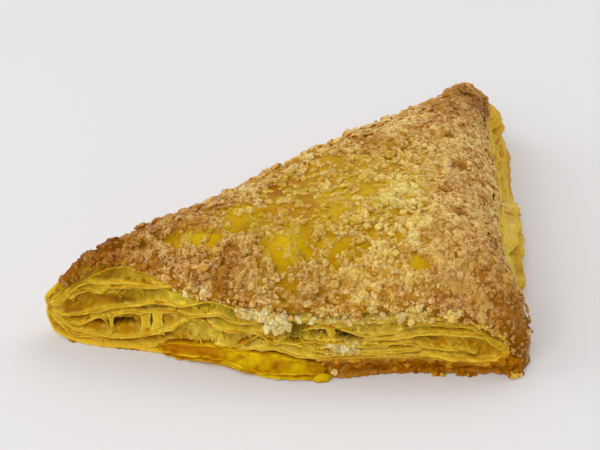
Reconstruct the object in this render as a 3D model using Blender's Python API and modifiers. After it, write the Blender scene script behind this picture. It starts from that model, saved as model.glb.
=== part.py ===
"""Turnover pastry: one square sheet of puff pastry folded corner to corner over a filling and baked.

Metres, +Z up. The flat underside is on z = 0 and the plan is centred on the origin. +X runs along the front
cut edge from the sharp tip to the square corner, and +Y runs along the right cut edge to the far corner. The
third side, from the far corner back to the tip, is the fold.
"""

import math

import bmesh
import bpy
import numpy as np

MM = 0.001

# Plan of the folded sheet, in millimetres: the three corners and how round each one is.
TIP = (-10.5, 0.5)
SQUARE_CORNER = (124.0, -2.0)
FAR_CORNER = (113.5, 133.5)
CORNER_RADII = (4.2, 7.0, 7.5)

# Stations round the edge. Place 0 is the tip, 1 the square corner, 2 the far corner and 3 the tip again.
# Each holds: place, height of the crust edge, how far the crust edge stands back, bulge of the foot line.
STATIONS = (
    (0.00, 11.4, 0.8, -1.3),
    (0.09, 15.0, 3.5, 0.2),
    (0.17, 23.0, 6.5, 1.8),
    (0.25, 23.0, 4.5, 1.6),
    (0.35, 20.0, 2.0, 4.0),
    (0.45, 18.6, 2.0, 6.8),
    (0.60, 18.4, 2.0, 7.6),
    (0.75, 18.6, 1.5, 2.6),
    (0.88, 15.0, 0.6, 0.4),
    (0.97, 9.5, 0.0, -0.6),
    (1.03, 9.5, 0.0, 0.0),
    (1.10, 15.5, 3.0, 0.0),
    (1.20, 19.0, 6.5, 0.6),
    (1.50, 19.5, 7.0, 2.8),
    (1.80, 20.5, 8.0, 4.4),
    (1.93, 21.0, 8.0, 6.0),
    (2.01, 21.4, 6.4, 6.0),
    (2.10, 21.8, 1.0, 2.4),
    (2.22, 21.0, 0.0, 1.5),
    (2.50, 19.4, 0.0, 1.4),
    (2.66, 16.2, 0.0, -0.2),
    (2.76, 15.4, 0.0, -0.8),
    (2.86, 14.6, 0.0, -1.4),
    (2.93, 12.2, 0.0, -1.7),
    (2.97, 11.2, 0.0, -1.6),
)

# The domed top and the lifted tip, in millimetres.
DOME_CENTRE = (84.0, 39.0)
DOME_HEIGHT = 32.0
DOME_FULLNESS = 2.3
DOME_SOFTNESS = 3.0
INNER_RADIUS = 44.0
TIP_LIFT = 8.5
TIP_LIFT_REACH = 0.13

# The layers that show on the two cut sides, and the rounded fold.
LAYER_COUNT = 3.0
LAYER_DEPTH = 0.9
FOLD_OVERHANG = 4.5
FOLD_TUCK = 3.0

# The uneven skin.
DIMPLE_SIZE = 11.0
DIMPLE_DEPTH = 1.3

# How finely the cage is divided before it is smoothed.
SIDE_STEPS = 17
CORNER_STEPS = 4
WALL_STEPS = 8
DOME_RINGS = (0.94, 0.85, 0.74, 0.6, 0.44, 0.26, 0.1)
BASE_RINGS = (0.95, 0.85, 0.5, 0.15)


def ease(x):
    x = np.clip(x, 0.0, 1.0)
    return x * x * (3.0 - 2.0 * x)


def round_edge(place, column):
    """Smooth closed curve through one column of the stations."""
    at = np.array([station[0] for station in STATIONS])
    value = np.tile([station[column] for station in STATIONS], 3)
    at = np.concatenate([at - 3.0, at, at + 3.0])
    slope = np.gradient(value, at)
    k = np.clip(np.searchsorted(at, place, side="right") - 1, 0, len(at) - 2)
    gap = at[k + 1] - at[k]
    u = (place - at[k]) / gap
    curve = value[k] * (1 + 2 * u) * (1 - u) ** 2 + value[k + 1] * u * u * (3 - 2 * u)
    return curve + gap * (slope[k] * u * (1 - u) ** 2 - slope[k + 1] * u * u * (1 - u))


def side_directions(corners):
    along = np.roll(corners, -1, axis=0) - corners
    lengths = np.hypot(along[:, 0], along[:, 1])
    along = along / lengths[:, None]
    outward = np.stack([along[:, 1], -along[:, 0]], axis=-1)
    return lengths, along, outward


def tangent_lengths(along):
    """Distance from each corner to where its rounding starts."""
    turn = [math.acos(-float(along[i - 1] @ along[i])) for i in range(3)]
    return [CORNER_RADII[i] / math.tan(turn[i] / 2) for i in range(3)]


def corner_arc(corner, radius, tangent, here, there, out_here, out_there):
    centre = corner - tangent * here - radius * out_here
    start = math.atan2(out_here[1], out_here[0])
    end = math.atan2(out_there[1], out_there[0])
    if end < start:
        end += 2 * math.pi
    angle = start + (end - start) * (np.arange(CORNER_STEPS) + 0.5) / CORNER_STEPS
    outward = np.stack([np.cos(angle), np.sin(angle)], axis=-1)
    return centre + radius * outward, outward


def plan_outline():
    """Points round the rounded triangle, the outward direction at each and its place from 0 to 3."""
    corners = np.array([TIP, SQUARE_CORNER, FAR_CORNER])
    lengths, along, outward = side_directions(corners)
    tangent = tangent_lengths(along)
    points, normals, places = [], [], []
    for i in range(3):
        j = (i + 1) % 3
        share = (np.arange(SIDE_STEPS) + 0.5) / SIDE_STEPS
        run = tangent[i] + (lengths[i] - tangent[j] - tangent[i]) * share
        points.append(corners[i] + run[:, None] * along[i])
        normals.append(np.tile(outward[i], (SIDE_STEPS, 1)))
        places.append(i + run / lengths[i])
        arc, arc_out = corner_arc(
            corners[j], CORNER_RADII[j], tangent[j], along[i], along[j], outward[i], outward[j]
        )
        points.append(arc)
        normals.append(arc_out)
        low = i + 1 - tangent[j] / lengths[i]
        high = i + 1 + tangent[j] / lengths[j]
        places.append(low + (high - low) * (np.arange(CORNER_STEPS) + 0.5) / CORNER_STEPS)
    return np.concatenate(points), np.concatenate(normals), np.concatenate(places) % 3.0


def wall_ring(points, normals, places, v):
    """One ring of the side, v = 0 at the foot and v = 1 at the crust edge."""
    crust = round_edge(places, 1)
    back = round_edge(places, 2)
    bulge = round_edge(places, 3)
    fold = ease((places - 2.0) / 0.1) * ease((3.0 - places) / 0.06)
    near_tip = np.minimum(places, 3.0 - places) / TIP_LIFT_REACH
    lift = TIP_LIFT * ease(1.0 - near_tip) ** 1.5
    ridges = LAYER_DEPTH * np.sin(2 * math.pi * (LAYER_COUNT * v + 0.6 * np.sin(9.0 * places)))
    ridges = ridges * math.sin(math.pi * v)
    cut = bulge * (1 - 0.25 * v) - back * v**0.8 + ridges
    swell = math.sin(math.pi * (0.05 + 0.9 * v)) ** 0.8
    full = ease((places - 1.98) / 0.2) * ease((3.0 - places) / 0.22)
    roll = bulge + (FOLD_OVERHANG * swell - FOLD_TUCK * (1 + v)) * full
    offset = cut * (1 - fold) + roll * fold
    plan = points + normals * offset[:, None]
    return np.column_stack([plan, lift + (crust - lift) * v])


def inset(plan):
    """Softened distance of each point from the three straight sides."""
    corners = np.array([TIP, SQUARE_CORNER, FAR_CORNER])
    outward = side_directions(corners)[2]
    gaps = np.maximum([(corners[i] - plan) @ outward[i] for i in range(3)], 0.1)
    return np.sum(gaps**-DOME_SOFTNESS, axis=0) ** (-1 / DOME_SOFTNESS)


def edge_height(plan, edge):
    """Height of the crust edge carried inwards: each place takes most from the edge nearest to it."""
    gap = np.linalg.norm(plan[:, None, :] - edge[None, :, :2], axis=2)
    step = np.linalg.norm(np.roll(edge, -1, axis=0) - np.roll(edge, 1, axis=0), axis=1)
    weight = step / (gap + 0.2) ** 3
    return (weight @ edge[:, 2]) / weight.sum(axis=1)


def ring_plan(edge, s):
    """A smaller copy of the edge about the dome's centre, turning into an even circle on the way in."""
    centre = np.array(DOME_CENTRE)
    spoke = edge[:, :2] - centre
    angle = np.unwrap(np.arctan2(spoke[:, 1], spoke[:, 0]))
    even = 2 * math.pi * np.arange(len(angle)) / len(angle)
    even += np.mean(angle - even)
    circle = INNER_RADIUS * np.column_stack([np.cos(even), np.sin(even)])
    return centre + s * (spoke * s + circle * (1 - s))


def dome_ring(edge, s):
    centre = np.array(DOME_CENTRE)
    plan = ring_plan(edge, s)
    low = edge_height(plan, edge)
    depth = np.clip(inset(plan) - inset(edge[:, :2]) * s**3, 0.0, None)
    full = inset(centre[None, :])[0]
    rise = 1.0 - np.clip(1.0 - depth / full, 0.0, 1.0) ** DOME_FULLNESS
    return np.column_stack([plan, low + (DOME_HEIGHT - low) * rise])


def base_ring(foot, s):
    return np.column_stack([ring_plan(foot, s), foot[:, 2] * ease((s - 0.8) / 0.2)])


def cage_rings():
    """Rings from the middle of the underside, out along it, up the side and over the dome."""
    points, normals, places = plan_outline()
    wall = [wall_ring(points, normals, places, v) for v in np.linspace(0.0, 1.0, WALL_STEPS + 1)]
    base = [base_ring(wall[0], s) for s in reversed(BASE_RINGS)]
    dome = [dome_ring(wall[-1], s) for s in DOME_RINGS]
    return base + wall + dome


def loft(rings, bottom, top):
    """A closed mesh through the rings, with a point at each end."""
    mesh = bmesh.new()
    loops = [[mesh.verts.new(point * MM) for point in ring] for ring in rings]
    low = mesh.verts.new(np.array(bottom) * MM)
    high = mesh.verts.new(np.array(top) * MM)
    count = len(loops[0])
    for k in range(count):
        n = (k + 1) % count
        mesh.faces.new((low, loops[0][n], loops[0][k]))
        mesh.faces.new((high, loops[-1][k], loops[-1][n]))
        for lower, upper in zip(loops[:-1], loops[1:]):
            mesh.faces.new((lower[k], lower[n], upper[n], upper[k]))
    bmesh.ops.recalc_face_normals(mesh, faces=mesh.faces)
    return mesh


def baked_pastry_material():
    material = bpy.data.materials.new("baked_pastry")
    material.use_nodes = True
    shader = material.node_tree.nodes["Principled BSDF"]
    shader.inputs["Base Color"].default_value = (0.46, 0.27, 0.075, 1.0)
    shader.inputs["Roughness"].default_value = 0.55
    return material


def add_uneven_skin(obj, clear_of_floor):
    """Smooths the cage, then dimples the skin everywhere but on the flat underside."""
    smooth = obj.modifiers.new("rounded", "SUBSURF")
    smooth.levels = 1
    smooth.render_levels = 1
    group = obj.vertex_groups.new(name="dimpled")
    group.add(clear_of_floor, 1.0, "REPLACE")
    texture = bpy.data.textures.new("dimples", "CLOUDS")
    texture.noise_scale = DIMPLE_SIZE * MM
    dimples = obj.modifiers.new("dimples", "DISPLACE")
    dimples.texture = texture
    dimples.texture_coords = "LOCAL"
    dimples.mid_level = 0.5
    dimples.strength = DIMPLE_DEPTH * 2 * MM
    dimples.vertex_group = group.name


def rest_on_origin(obj):
    """Moves the object so that the finished shape is centred in plan and its lowest point is on the floor."""
    graph = bpy.context.evaluated_depsgraph_get()
    shape = obj.evaluated_get(graph).to_mesh()
    points = np.empty(len(shape.vertices) * 3, np.float32)
    shape.vertices.foreach_get("co", points)
    points = points.reshape(-1, 3)
    low = points.min(axis=0)
    high = points.max(axis=0)
    obj.location = (-(low[0] + high[0]) / 2, -(low[1] + high[1]) / 2, -low[2])


def make_turnover():
    rings = cage_rings()
    middle = (DOME_CENTRE[0], DOME_CENTRE[1])
    cage = loft(rings, (*middle, 0.0), (*middle, DOME_HEIGHT))
    mesh = bpy.data.meshes.new("turnover")
    cage.to_mesh(mesh)
    cage.free()
    obj = bpy.data.objects.new("turnover", mesh)
    home = bpy.data.collections.new("turnover_pastry")
    bpy.context.scene.collection.children.link(home)
    home.objects.link(obj)
    mesh.materials.append(baked_pastry_material())
    for polygon in mesh.polygons:
        polygon.use_smooth = True
    clear = [vertex.index for vertex in mesh.vertices if vertex.co.z > 1.5 * MM]
    add_uneven_skin(obj, clear)
    bpy.context.view_layer.update()
    rest_on_origin(obj)


for old in list(bpy.data.objects):
    bpy.data.objects.remove(old, do_unlink=True)
make_turnover()
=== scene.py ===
# Turnover pastry: a sugared crust folded over many thin baked layers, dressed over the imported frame.
import math

import bpy
import numpy as np
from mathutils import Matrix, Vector


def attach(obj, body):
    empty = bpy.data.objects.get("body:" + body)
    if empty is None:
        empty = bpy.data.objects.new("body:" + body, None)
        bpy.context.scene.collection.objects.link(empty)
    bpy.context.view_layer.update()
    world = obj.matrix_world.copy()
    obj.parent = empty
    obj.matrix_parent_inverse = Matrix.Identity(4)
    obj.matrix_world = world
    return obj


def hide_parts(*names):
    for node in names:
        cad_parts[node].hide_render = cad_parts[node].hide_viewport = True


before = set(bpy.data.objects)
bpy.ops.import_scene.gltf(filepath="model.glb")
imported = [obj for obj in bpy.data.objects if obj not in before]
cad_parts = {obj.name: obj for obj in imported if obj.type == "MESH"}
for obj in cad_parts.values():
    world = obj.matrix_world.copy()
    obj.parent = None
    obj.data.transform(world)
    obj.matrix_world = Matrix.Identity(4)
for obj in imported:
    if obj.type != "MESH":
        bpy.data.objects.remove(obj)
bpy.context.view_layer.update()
print("frame loaded")

mm = 0.001
planShift = np.array([-59.802, -59.5, 0.0])   # from the folded sheet's own plan to the middle of the part, in mm
floorGap = 0.02   # how far the lowest points stay above the floor, in mm
looseGap = 0.03   # the same for grains and the flap


# Noise and small helpers, all in mm and on whole arrays.

def ease(x):   # 0 below 0, 1 above 1, smooth between
    x = np.clip(x, 0.0, 1.0)
    return x * x * (3 - 2 * x)


def bell(x):   # 1 at 0, falling off like a soft bump
    return np.exp(-x * x)


def unit(v):   # directions brought to length 1
    return v / np.linalg.norm(v, axis=-1, keepdims=True)


def smoothed(rows, times):   # every inner row moved towards the middle of its two neighbours, several times over
    for _ in range(times):
        rows[1:-1] = 0.5 * rows[1:-1] + 0.25 * (rows[:-2] + rows[2:])
    return rows


scatterSteps = (374761393, 668265263, 1274126177)   # large odd numbers that set neighbouring cells far apart
seedStep, mixStep = 974634777, 1103515245
wordMask, fractionMask = 0xFFFFFFFF, 0xFFFFFF


def latticeValue(cell, seed):   # a repeatable random number from 0 to 1 for each whole-number cell
    h = (sum(cell[..., k] * step for k, step in enumerate(scatterSteps)) + seed * seedStep) & wordMask
    h = ((h ^ (h >> 13)) * mixStep) & wordMask
    return ((h ^ (h >> 16)) & fractionMask) / (fractionMask + 1)


def softNoise(p, seed=0):   # smooth noise from -1 to 1: eased mix of the eight lattice values round a point
    base = np.floor(p).astype(np.int64)
    f = p - base
    f = f * f * (3 - 2 * f)
    total = 0.0
    for corner in np.ndindex(2, 2, 2):
        share = np.prod(np.where(np.array(corner) == 1, f, 1 - f), axis=-1)
        total = total + share * latticeValue(base + np.array(corner), seed)
    return total * 2 - 1


def layeredNoise(p, seed=0, octaves=3):   # softNoise at doubling scales and halving strengths
    total, strength = 0.0, 1.0
    for k in range(octaves):
        total = total + strength * softNoise(p * 2.0 ** k, seed + 17 * k)
        strength *= 0.5
    return total / 1.6


def lineNoise(x, seed, scale=1.0):   # noise along one length
    x = np.asarray(x, float) / scale
    return softNoise(np.stack([x, np.full_like(x, 0.37 * seed), np.zeros_like(x)], axis=-1), seed)


def spread(x, y, xSize=1.0, ySize=1.0):   # two lengths as places for noise, each in its own size
    return np.stack([x / xSize, y / ySize, 0 * x], axis=-1)


def drift(p, seed):   # two soft noises as a shift of such places
    return spread(softNoise(p, seed), softNoise(p, seed + 1))


def cellPattern(p, seed, valueSeed=None):   # distance to the nearest and next scattered point, and the nearest's value
    base = np.floor(p).astype(np.int64)
    first = np.full(p.shape[:-1], 9.0)
    second = first.copy()
    value = np.zeros(p.shape[:-1])
    for corner in np.ndindex(3, 3, 1):
        cell = base + np.array(corner) - np.array([1, 1, 0])
        spot = cell + np.stack([latticeValue(cell, seed + k) for k in (1, 2, 3)], axis=-1)
        gap = np.linalg.norm((spot - p)[..., :2], axis=-1)
        nearer = gap < first
        second = np.where(nearer, first, np.minimum(second, gap))
        value = np.where(nearer, latticeValue(cell, valueSeed or seed + 4), value)
        first = np.where(nearer, gap, first)
    return first, second, value


def tone(r, g, b):   # a display colour from 0 to 255 as linear light
    c = np.array([r, g, b], float) / 255
    return np.where(c <= 0.04045, c / 12.92, ((c + 0.055) / 1.055) ** 2.4)


def blendTone(base, other, share):   # mixes two colours by a share that varies over the surface
    share = np.clip(share, 0, 1)[..., None]
    return base * (1 - share) + other * share


def layered(colour, *layers):   # a colour with each further colour mixed in by its own share
    for other, share in layers:
        colour = blendTone(colour, tone(*other), share)
    return colour


def tinted(shape, first, *layers):   # the same over one first colour, for all points of a shape
    return layered(np.broadcast_to(tone(*first), shape), *layers)


def spotted(colour, x, y, other, spots):   # mixes one colour in round each spot: x, y, size, share
    for sx, sy, size, share in spots:
        colour = blendTone(colour, tone(*other), share * bell(np.hypot(x - sx, y - sy) / size))
    return colour


# The folded sheet: plan, side and dome, the same form as the frame.

sheetPlan = {
    "corners": np.array([(-10.5, 0.5), (124.0, -2.0), (113.5, 133.5)]),   # sharp tip, square corner, far corner
    "radii": (4.2, 7.0, 7.5),
    # place round the edge, height of the crust edge, how far it stands back, bulge of the foot
    "stations": np.array([
        (0.00, 11.4, 0.8, -1.3), (0.09, 15.0, 3.5, 0.2), (0.17, 23.0, 6.5, 1.8), (0.25, 23.0, 4.5, 1.6),
        (0.35, 20.0, 2.0, 4.0), (0.45, 18.6, 2.0, 6.8), (0.60, 18.4, 2.0, 7.6), (0.75, 18.6, 1.5, 2.6),
        (0.88, 15.0, 0.6, 0.4), (0.97, 9.5, 0.0, -0.6), (1.03, 9.5, 0.0, 0.0), (1.10, 15.5, 3.0, 0.0),
        (1.20, 19.0, 6.5, 0.6), (1.50, 19.5, 7.0, 2.8), (1.80, 20.5, 8.0, 4.4), (1.93, 21.0, 8.0, 6.0),
        (2.01, 21.4, 6.4, 6.0), (2.10, 21.8, 1.0, 2.4), (2.22, 21.0, 0.0, 1.5), (2.50, 19.4, 0.0, 1.4),
        (2.66, 16.2, 0.0, -0.2), (2.76, 15.4, 0.0, -0.8), (2.86, 14.6, 0.0, -1.4), (2.93, 12.2, 0.0, -1.7),
        (2.97, 11.2, 0.0, -1.6)]),
    "domeCentre": np.array([84.0, 39.0]),
    "domeHeight": 32.0,
    "domeFullness": 2.3,
    "innerRadius": 44.0,
    "tipLift": 8.5,
    "tipLiftReach": 0.13,
}


def stationCurve(place, column):   # closed curve through one column of the stations, with matching slopes at each
    table = sheetPlan["stations"]
    at = np.concatenate([table[:, 0] - 3, table[:, 0], table[:, 0] + 3])
    value = np.tile(table[:, column], 3)
    slope = np.gradient(value, at)
    k = np.clip(np.searchsorted(at, place, side="right") - 1, 0, len(at) - 2)
    gap = at[k + 1] - at[k]
    u = (place - at[k]) / gap
    curve = value[k] * (1 + 2 * u) * (1 - u) ** 2 + value[k + 1] * u * u * (3 - 2 * u)
    return curve + gap * (slope[k] * u * (1 - u) ** 2 - slope[k + 1] * u * u * (1 - u))


sideSamples, cornerSamples = 500, 60   # points of the outline along each straight side and round each corner


def denseOutline():   # straight sides joined by arcs, as points, outward directions and places from 0 to 3
    corners = sheetPlan["corners"]
    along = np.roll(corners, -1, axis=0) - corners
    lengths = np.hypot(along[:, 0], along[:, 1])
    along = along / lengths[:, None]
    out = np.stack([along[:, 1], -along[:, 0]], axis=-1)
    cut = [sheetPlan["radii"][i] / math.tan(math.acos(-float(along[i - 1] @ along[i])) / 2) for i in range(3)]
    points, outs, places = [], [], []
    for i in range(3):
        j = (i + 1) % 3
        run = cut[i] + (lengths[i] - cut[i] - cut[j]) * (np.arange(sideSamples) + 0.5) / sideSamples
        points.append(corners[i] + run[:, None] * along[i])
        outs.append(np.tile(out[i], (sideSamples, 1)))
        places.append(i + run / lengths[i])
        centre = corners[j] - cut[j] * along[i] - sheetPlan["radii"][j] * out[i]
        start = math.atan2(out[i, 1], out[i, 0])
        end = math.atan2(out[j, 1], out[j, 0])
        end += 2 * math.pi * (end < start)
        turn = (np.arange(cornerSamples) + 0.5) / cornerSamples
        spoke = np.stack([np.cos(start + (end - start) * turn), np.sin(start + (end - start) * turn)], axis=-1)
        points.append(centre + sheetPlan["radii"][j] * spoke)
        outs.append(spoke)
        places.append(i + 1 - cut[j] / lengths[i] + (cut[j] / lengths[i] + cut[j] / lengths[j]) * turn)
    return np.concatenate(points), np.concatenate(outs), np.concatenate(places)


outlinePoints, outlineOuts, outlinePlaces = denseOutline()
outlineSteps = np.linalg.norm(np.roll(outlinePoints, -1, axis=0) - outlinePoints, axis=1)
outlineLength = outlineSteps.sum()
outlineMarks = np.concatenate([[0], np.cumsum(outlineSteps)])


def edgeAt(run):   # point, outward direction and place at a distance along the outline from the tip
    run = np.mod(run, outlineLength)
    column = lambda a, last: np.interp(run, outlineMarks, np.append(a, last))
    x = column(outlinePoints[:, 0], outlinePoints[0, 0])
    y = column(outlinePoints[:, 1], outlinePoints[0, 1])
    out = np.stack([column(outlineOuts[:, k], outlineOuts[0, k]) for k in (0, 1)], axis=-1)
    place = column(outlinePlaces, outlinePlaces[0] + 3)
    return np.stack([x, y], axis=-1), unit(out), place % 3


def runAtPlace(place):   # distance along the outline at a place
    return np.interp(place, np.append(outlinePlaces, outlinePlaces[0] + 3), outlineMarks)


def footLift(place):   # how far the foot is off the floor near the tip
    return sheetPlan["tipLift"] * ease(1 - np.minimum(place, 3 - place) / sheetPlan["tipLiftReach"]) ** 1.5


def wallShape(place, v):   # how far out and how high the side stands, v = 0 at the foot and 1 at the crust edge
    bulge = stationCurve(place, 3)
    fold = ease((place - 2.0) / 0.1) * ease((3.0 - place) / 0.06)
    lift = footLift(place)
    cut = bulge * (1 - 0.25 * v) - stationCurve(place, 2) * np.maximum(v, 0) ** 0.8
    full = ease((place - 1.98) / 0.2) * ease((3.0 - place) / 0.22)
    roll = bulge + (4.5 * np.sin(math.pi * (0.05 + 0.9 * np.clip(v, 0, 1))) ** 0.8 - 3.0 * (1 + v)) * full
    return cut * (1 - fold) + roll * fold, lift + (stationCurve(place, 1) - lift) * v


def wallPoint(run, v, extra=0.0):   # points of the side, moved out by extra
    plan, out, place = edgeAt(run)
    reach, height = wallShape(place, v)
    return np.concatenate([plan + out * (reach + extra)[..., None], height[..., None]], axis=-1)


def wallSpot(run, height, extra=0.0):   # the same by height, with the outward direction
    plan, out, place = edgeAt(run)
    lift = footLift(place)
    reach = wallShape(place, (height - lift) / (stationCurve(place, 1) - lift))[0] + extra
    return np.concatenate([plan + out * reach[..., None], height[..., None]], axis=-1), out


def insetOf(plan):   # softened distance from the three straight sides
    corners = sheetPlan["corners"]
    along = unit(np.roll(corners, -1, axis=0) - corners)
    out = np.stack([along[:, 1], -along[:, 0]], axis=-1)
    gaps = np.maximum([(corners[i] - plan) @ out[i] for i in range(3)], 0.1)
    return np.sum(gaps ** -3.0, axis=0) ** (-1 / 3)


def ringPlan(edge, s):   # a smaller copy of the edge about the dome's middle, turning into an even circle inwards
    centre = sheetPlan["domeCentre"]
    spoke = edge[:, :2] - centre
    angle = np.unwrap(np.arctan2(spoke[:, 1], spoke[:, 0]))
    even = 2 * math.pi * np.arange(len(angle)) / len(angle)
    even += np.mean(angle - even)
    circle = sheetPlan["innerRadius"] * np.stack([np.cos(even), np.sin(even)], axis=-1)
    return centre + s * (spoke * s + circle * (1 - s))


rimSamples = 200   # places of the crust edge that the dome's height follows
rimEdge = wallPoint(np.linspace(0, outlineLength, rimSamples, endpoint=False), np.ones(rimSamples))
rimWeight = np.linalg.norm(np.roll(rimEdge, -1, axis=0) - np.roll(rimEdge, 1, axis=0), axis=1)


def domeRing(edge, s):   # edge heights carried inwards, each place taking most from the nearest edge, plus the dome
    plan = ringPlan(edge, s)
    gap = np.linalg.norm(plan[:, None] - rimEdge[None, :, :2], axis=-1)
    weight = rimWeight / (gap + 0.2) ** 3
    low = (weight @ rimEdge[:, 2]) / weight.sum(axis=1)
    full = insetOf(sheetPlan["domeCentre"][None])[0]
    depth = np.clip(insetOf(plan) - insetOf(edge[:, :2]) * s ** 3, 0, None)
    rise = 1 - np.clip(1 - depth / full, 0, 1) ** sheetPlan["domeFullness"]
    return np.concatenate([plan, (low + (sheetPlan["domeHeight"] - low) * rise)[:, None]], axis=-1)


# Mesh building.

# share of red, green and blue that each finish keeps of a piece's tones
toneWarmth = {"eggWashedCrust": (0.98, 0.94, 0.22), "bakedLayers": (1.04, 0.93, 0.26), "amberGlaze": (1.0, 0.97, 0.1),
              "bakedSugar": (1.0, 0.96, 0.5)}


def gridNormals(grid):   # outward direction at each point of a grid of closed rings
    along = np.roll(grid, -1, axis=1) - np.roll(grid, 1, axis=1)
    normal = np.cross(along, np.gradient(grid, axis=0))
    return normal / np.maximum(np.linalg.norm(normal, axis=-1, keepdims=True), 1e-9)


def gridFaces(rows, columns, closed=True, loop=False):   # quads between the rows of a grid
    r, c = np.meshgrid(np.arange(rows if loop else rows - 1), np.arange(columns if closed else columns - 1),
                       indexing="ij")
    n, up = (c + 1) % columns, (r + 1) % rows
    return np.stack([r * columns + c, r * columns + n, up * columns + n, up * columns + c], axis=-1).reshape(-1, 4)


def fanFaces(ring, centre, outward=True):   # triangles from a ring of point numbers to one middle point
    n = np.roll(ring, -1)
    middle = np.full(len(ring), centre)
    return np.stack([middle, ring, n] if outward else [middle, n, ring], axis=-1)


def closedBody(grid, colour, across=False, outward=True, ends=None):
    # a grid as a closed body: its first and last rings, or with across its first and last columns, fanned to a point
    rows, columns = grid.shape[:2]
    total = rows * columns
    side = ((slice(None), 0), (slice(None), -1)) if across else (0, -1)
    number = np.arange(total).reshape(rows, columns)
    quads = gridFaces(rows, columns, not across, across)
    faces = [quads[:, ::-1] if outward != across else quads,
             fanFaces(number[side[0]], total, outward), fanFaces(number[side[1]], total + 1, not outward)]
    ends = [grid[s].mean(axis=0) for s in side] if ends is None else ends
    points = np.concatenate([grid.reshape(-1, 3), ends])
    return points, faces, np.concatenate([colour.reshape(-1, 3), colour[0, :1],
                                          colour[0, -1:] if across else colour[-1, :1]])


# browner places of the top: x, y, size in mm, how brown
brownPlaces = [
    (119, 3, 9, 0.8), (12, 10, 10, 1.0), (4, 7, 7, 1.0), (12, 8, 12, 0.9), (24, 20, 7, 0.5), (47, 4, 7, 0.5),
    (66, 0, 8, 0.4), (112, 6, 12, 0.6), (120, 2, 9, 0.8), (108, 106, 12, 0.9), (104, 28, 3, 0.7), (103, 53, 3, 0.6),
    (104, 40, 6, 0.4), (98, 90, 9, 0.6), (78, 62, 6, 0.4), (34, 22, 6, 0.4), (107, 17, 12, 0.3), (100, 76, 9, 0.3),
    (104, 1, 9, 0.55), (15, 17, 8, 0.9)]


def brownness(x, y):   # the strongest of the brown places at each point
    brown = np.zeros_like(x)
    for bx, by, size, much in brownPlaces:
        brown = np.maximum(brown, much * bell(np.hypot(x - bx, y - by) / size))
    return brown


def placeObject(name, data):   # a new object in the scene
    made = bpy.data.objects.new(name, data)
    bpy.context.scene.collection.objects.link(made)
    return made


def makePiece(name, points, faces, material, colours, smooth=True, raised=1.0):
    # points in mm, faces as arrays of point numbers; raised is where the surface stands proud and has pale outlines,
    # which on the sugar are painted highlight
    mesh = bpy.data.meshes.new(name)
    points = np.asarray(points).reshape(-1, 3)
    outlines = raised * (1 - 0.78 * brownness(points[:, 0], points[:, 1]))
    points = (points + planShift) * mm
    faces = [f for n in (4, 3) for f in faces if f.shape[1] == n]
    sizes = np.concatenate([np.full(len(f), f.shape[1]) for f in faces])
    corners = np.concatenate([f.reshape(-1) for f in faces])
    mesh.vertices.add(len(points))
    mesh.vertices.foreach_set("co", points.astype(np.float32).ravel())
    mesh.loops.add(len(corners))
    mesh.loops.foreach_set("vertex_index", corners.astype(np.int32))
    mesh.polygons.add(len(sizes))
    mesh.polygons.foreach_set("loop_start", np.concatenate([[0], np.cumsum(sizes)[:-1]]).astype(np.int32))
    mesh.polygons.foreach_set("use_smooth", np.full(len(sizes), smooth))
    mesh.update(calc_edges=True)
    mesh.validate()
    warm = np.asarray(colours).reshape(-1, 3) * toneWarmth[material.name]
    rgba = np.concatenate([warm, outlines[:, None]], axis=1)   # the fourth value is the strength of pale outlines
    layer = mesh.color_attributes.new("tone", "FLOAT_COLOR", "POINT")
    layer.data.foreach_set("color", rgba.astype(np.float32).ravel())
    mesh.materials.append(material)
    piece = placeObject(name, mesh)
    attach(piece, "root")
    print(name, len(points), "points")
    return piece


def joinBodies(name, bodies, material):   # several closed bodies as one piece, their point numbers moved on
    points, faces, colours = zip(*bodies)
    starts = np.cumsum([0] + [len(p) for p in points])
    faces = [part + start for parts, start in zip(faces, starts) for part in parts]
    return makePiece(name, np.concatenate(points), faces, material, np.concatenate(colours))


# Finishes. Every piece carries a "tone" colour worked out with its shape; the nodes add what is finer than the mesh.

def fillInputs(tree, node, inputs):   # each input takes a value, or a link from another node's output
    for key, value in inputs.items():
        if isinstance(value, bpy.types.NodeSocket):
            tree.links.new(value, node.inputs[key])
        else:
            node.inputs[key].default_value = value


def addNode(tree, kind, inputs, **settings):   # a new shader node with its settings and inputs; gives its outputs
    node = tree.nodes.new("ShaderNode" + kind)
    for key, value in settings.items():
        setattr(node, key, value)
    fillInputs(tree, node, inputs)
    return node.outputs


def mathNode(tree, operation, first, second):   # one sum, product or other operation on two values
    return addNode(tree, "Math", {0: first, 1: second}, operation=operation)[0]


def rangeNode(tree, value, fromMin, fromMax, toMin, toMax, **settings):   # carries a value from one span to another
    return addNode(tree, "MapRange", {"Value": value, "From Min": fromMin, "From Max": fromMax, "To Min": toMin,
                                      "To Max": toMax}, **settings)["Result"]


def startGroup(name, inputs, outputs):   # a node group with its sockets, its place coordinates and 1 / Size in metres
    group = bpy.data.node_groups.new(name, "ShaderNodeTree")
    for socket, value in inputs.items():
        group.interface.new_socket(socket, in_out="INPUT", socket_type="NodeSocketFloat").default_value = value
    for socket, kind in outputs.items():
        group.interface.new_socket(socket, in_out="OUTPUT", socket_type="NodeSocket" + kind)
    given, wanted = group.nodes.new("NodeGroupInput").outputs, group.nodes.new("NodeGroupOutput")
    perSize = mathNode(group, "DIVIDE", 1000.0, given["Size"])
    return group, given, wanted, addNode(group, "TexCoord", {})["Object"], perSize


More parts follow.
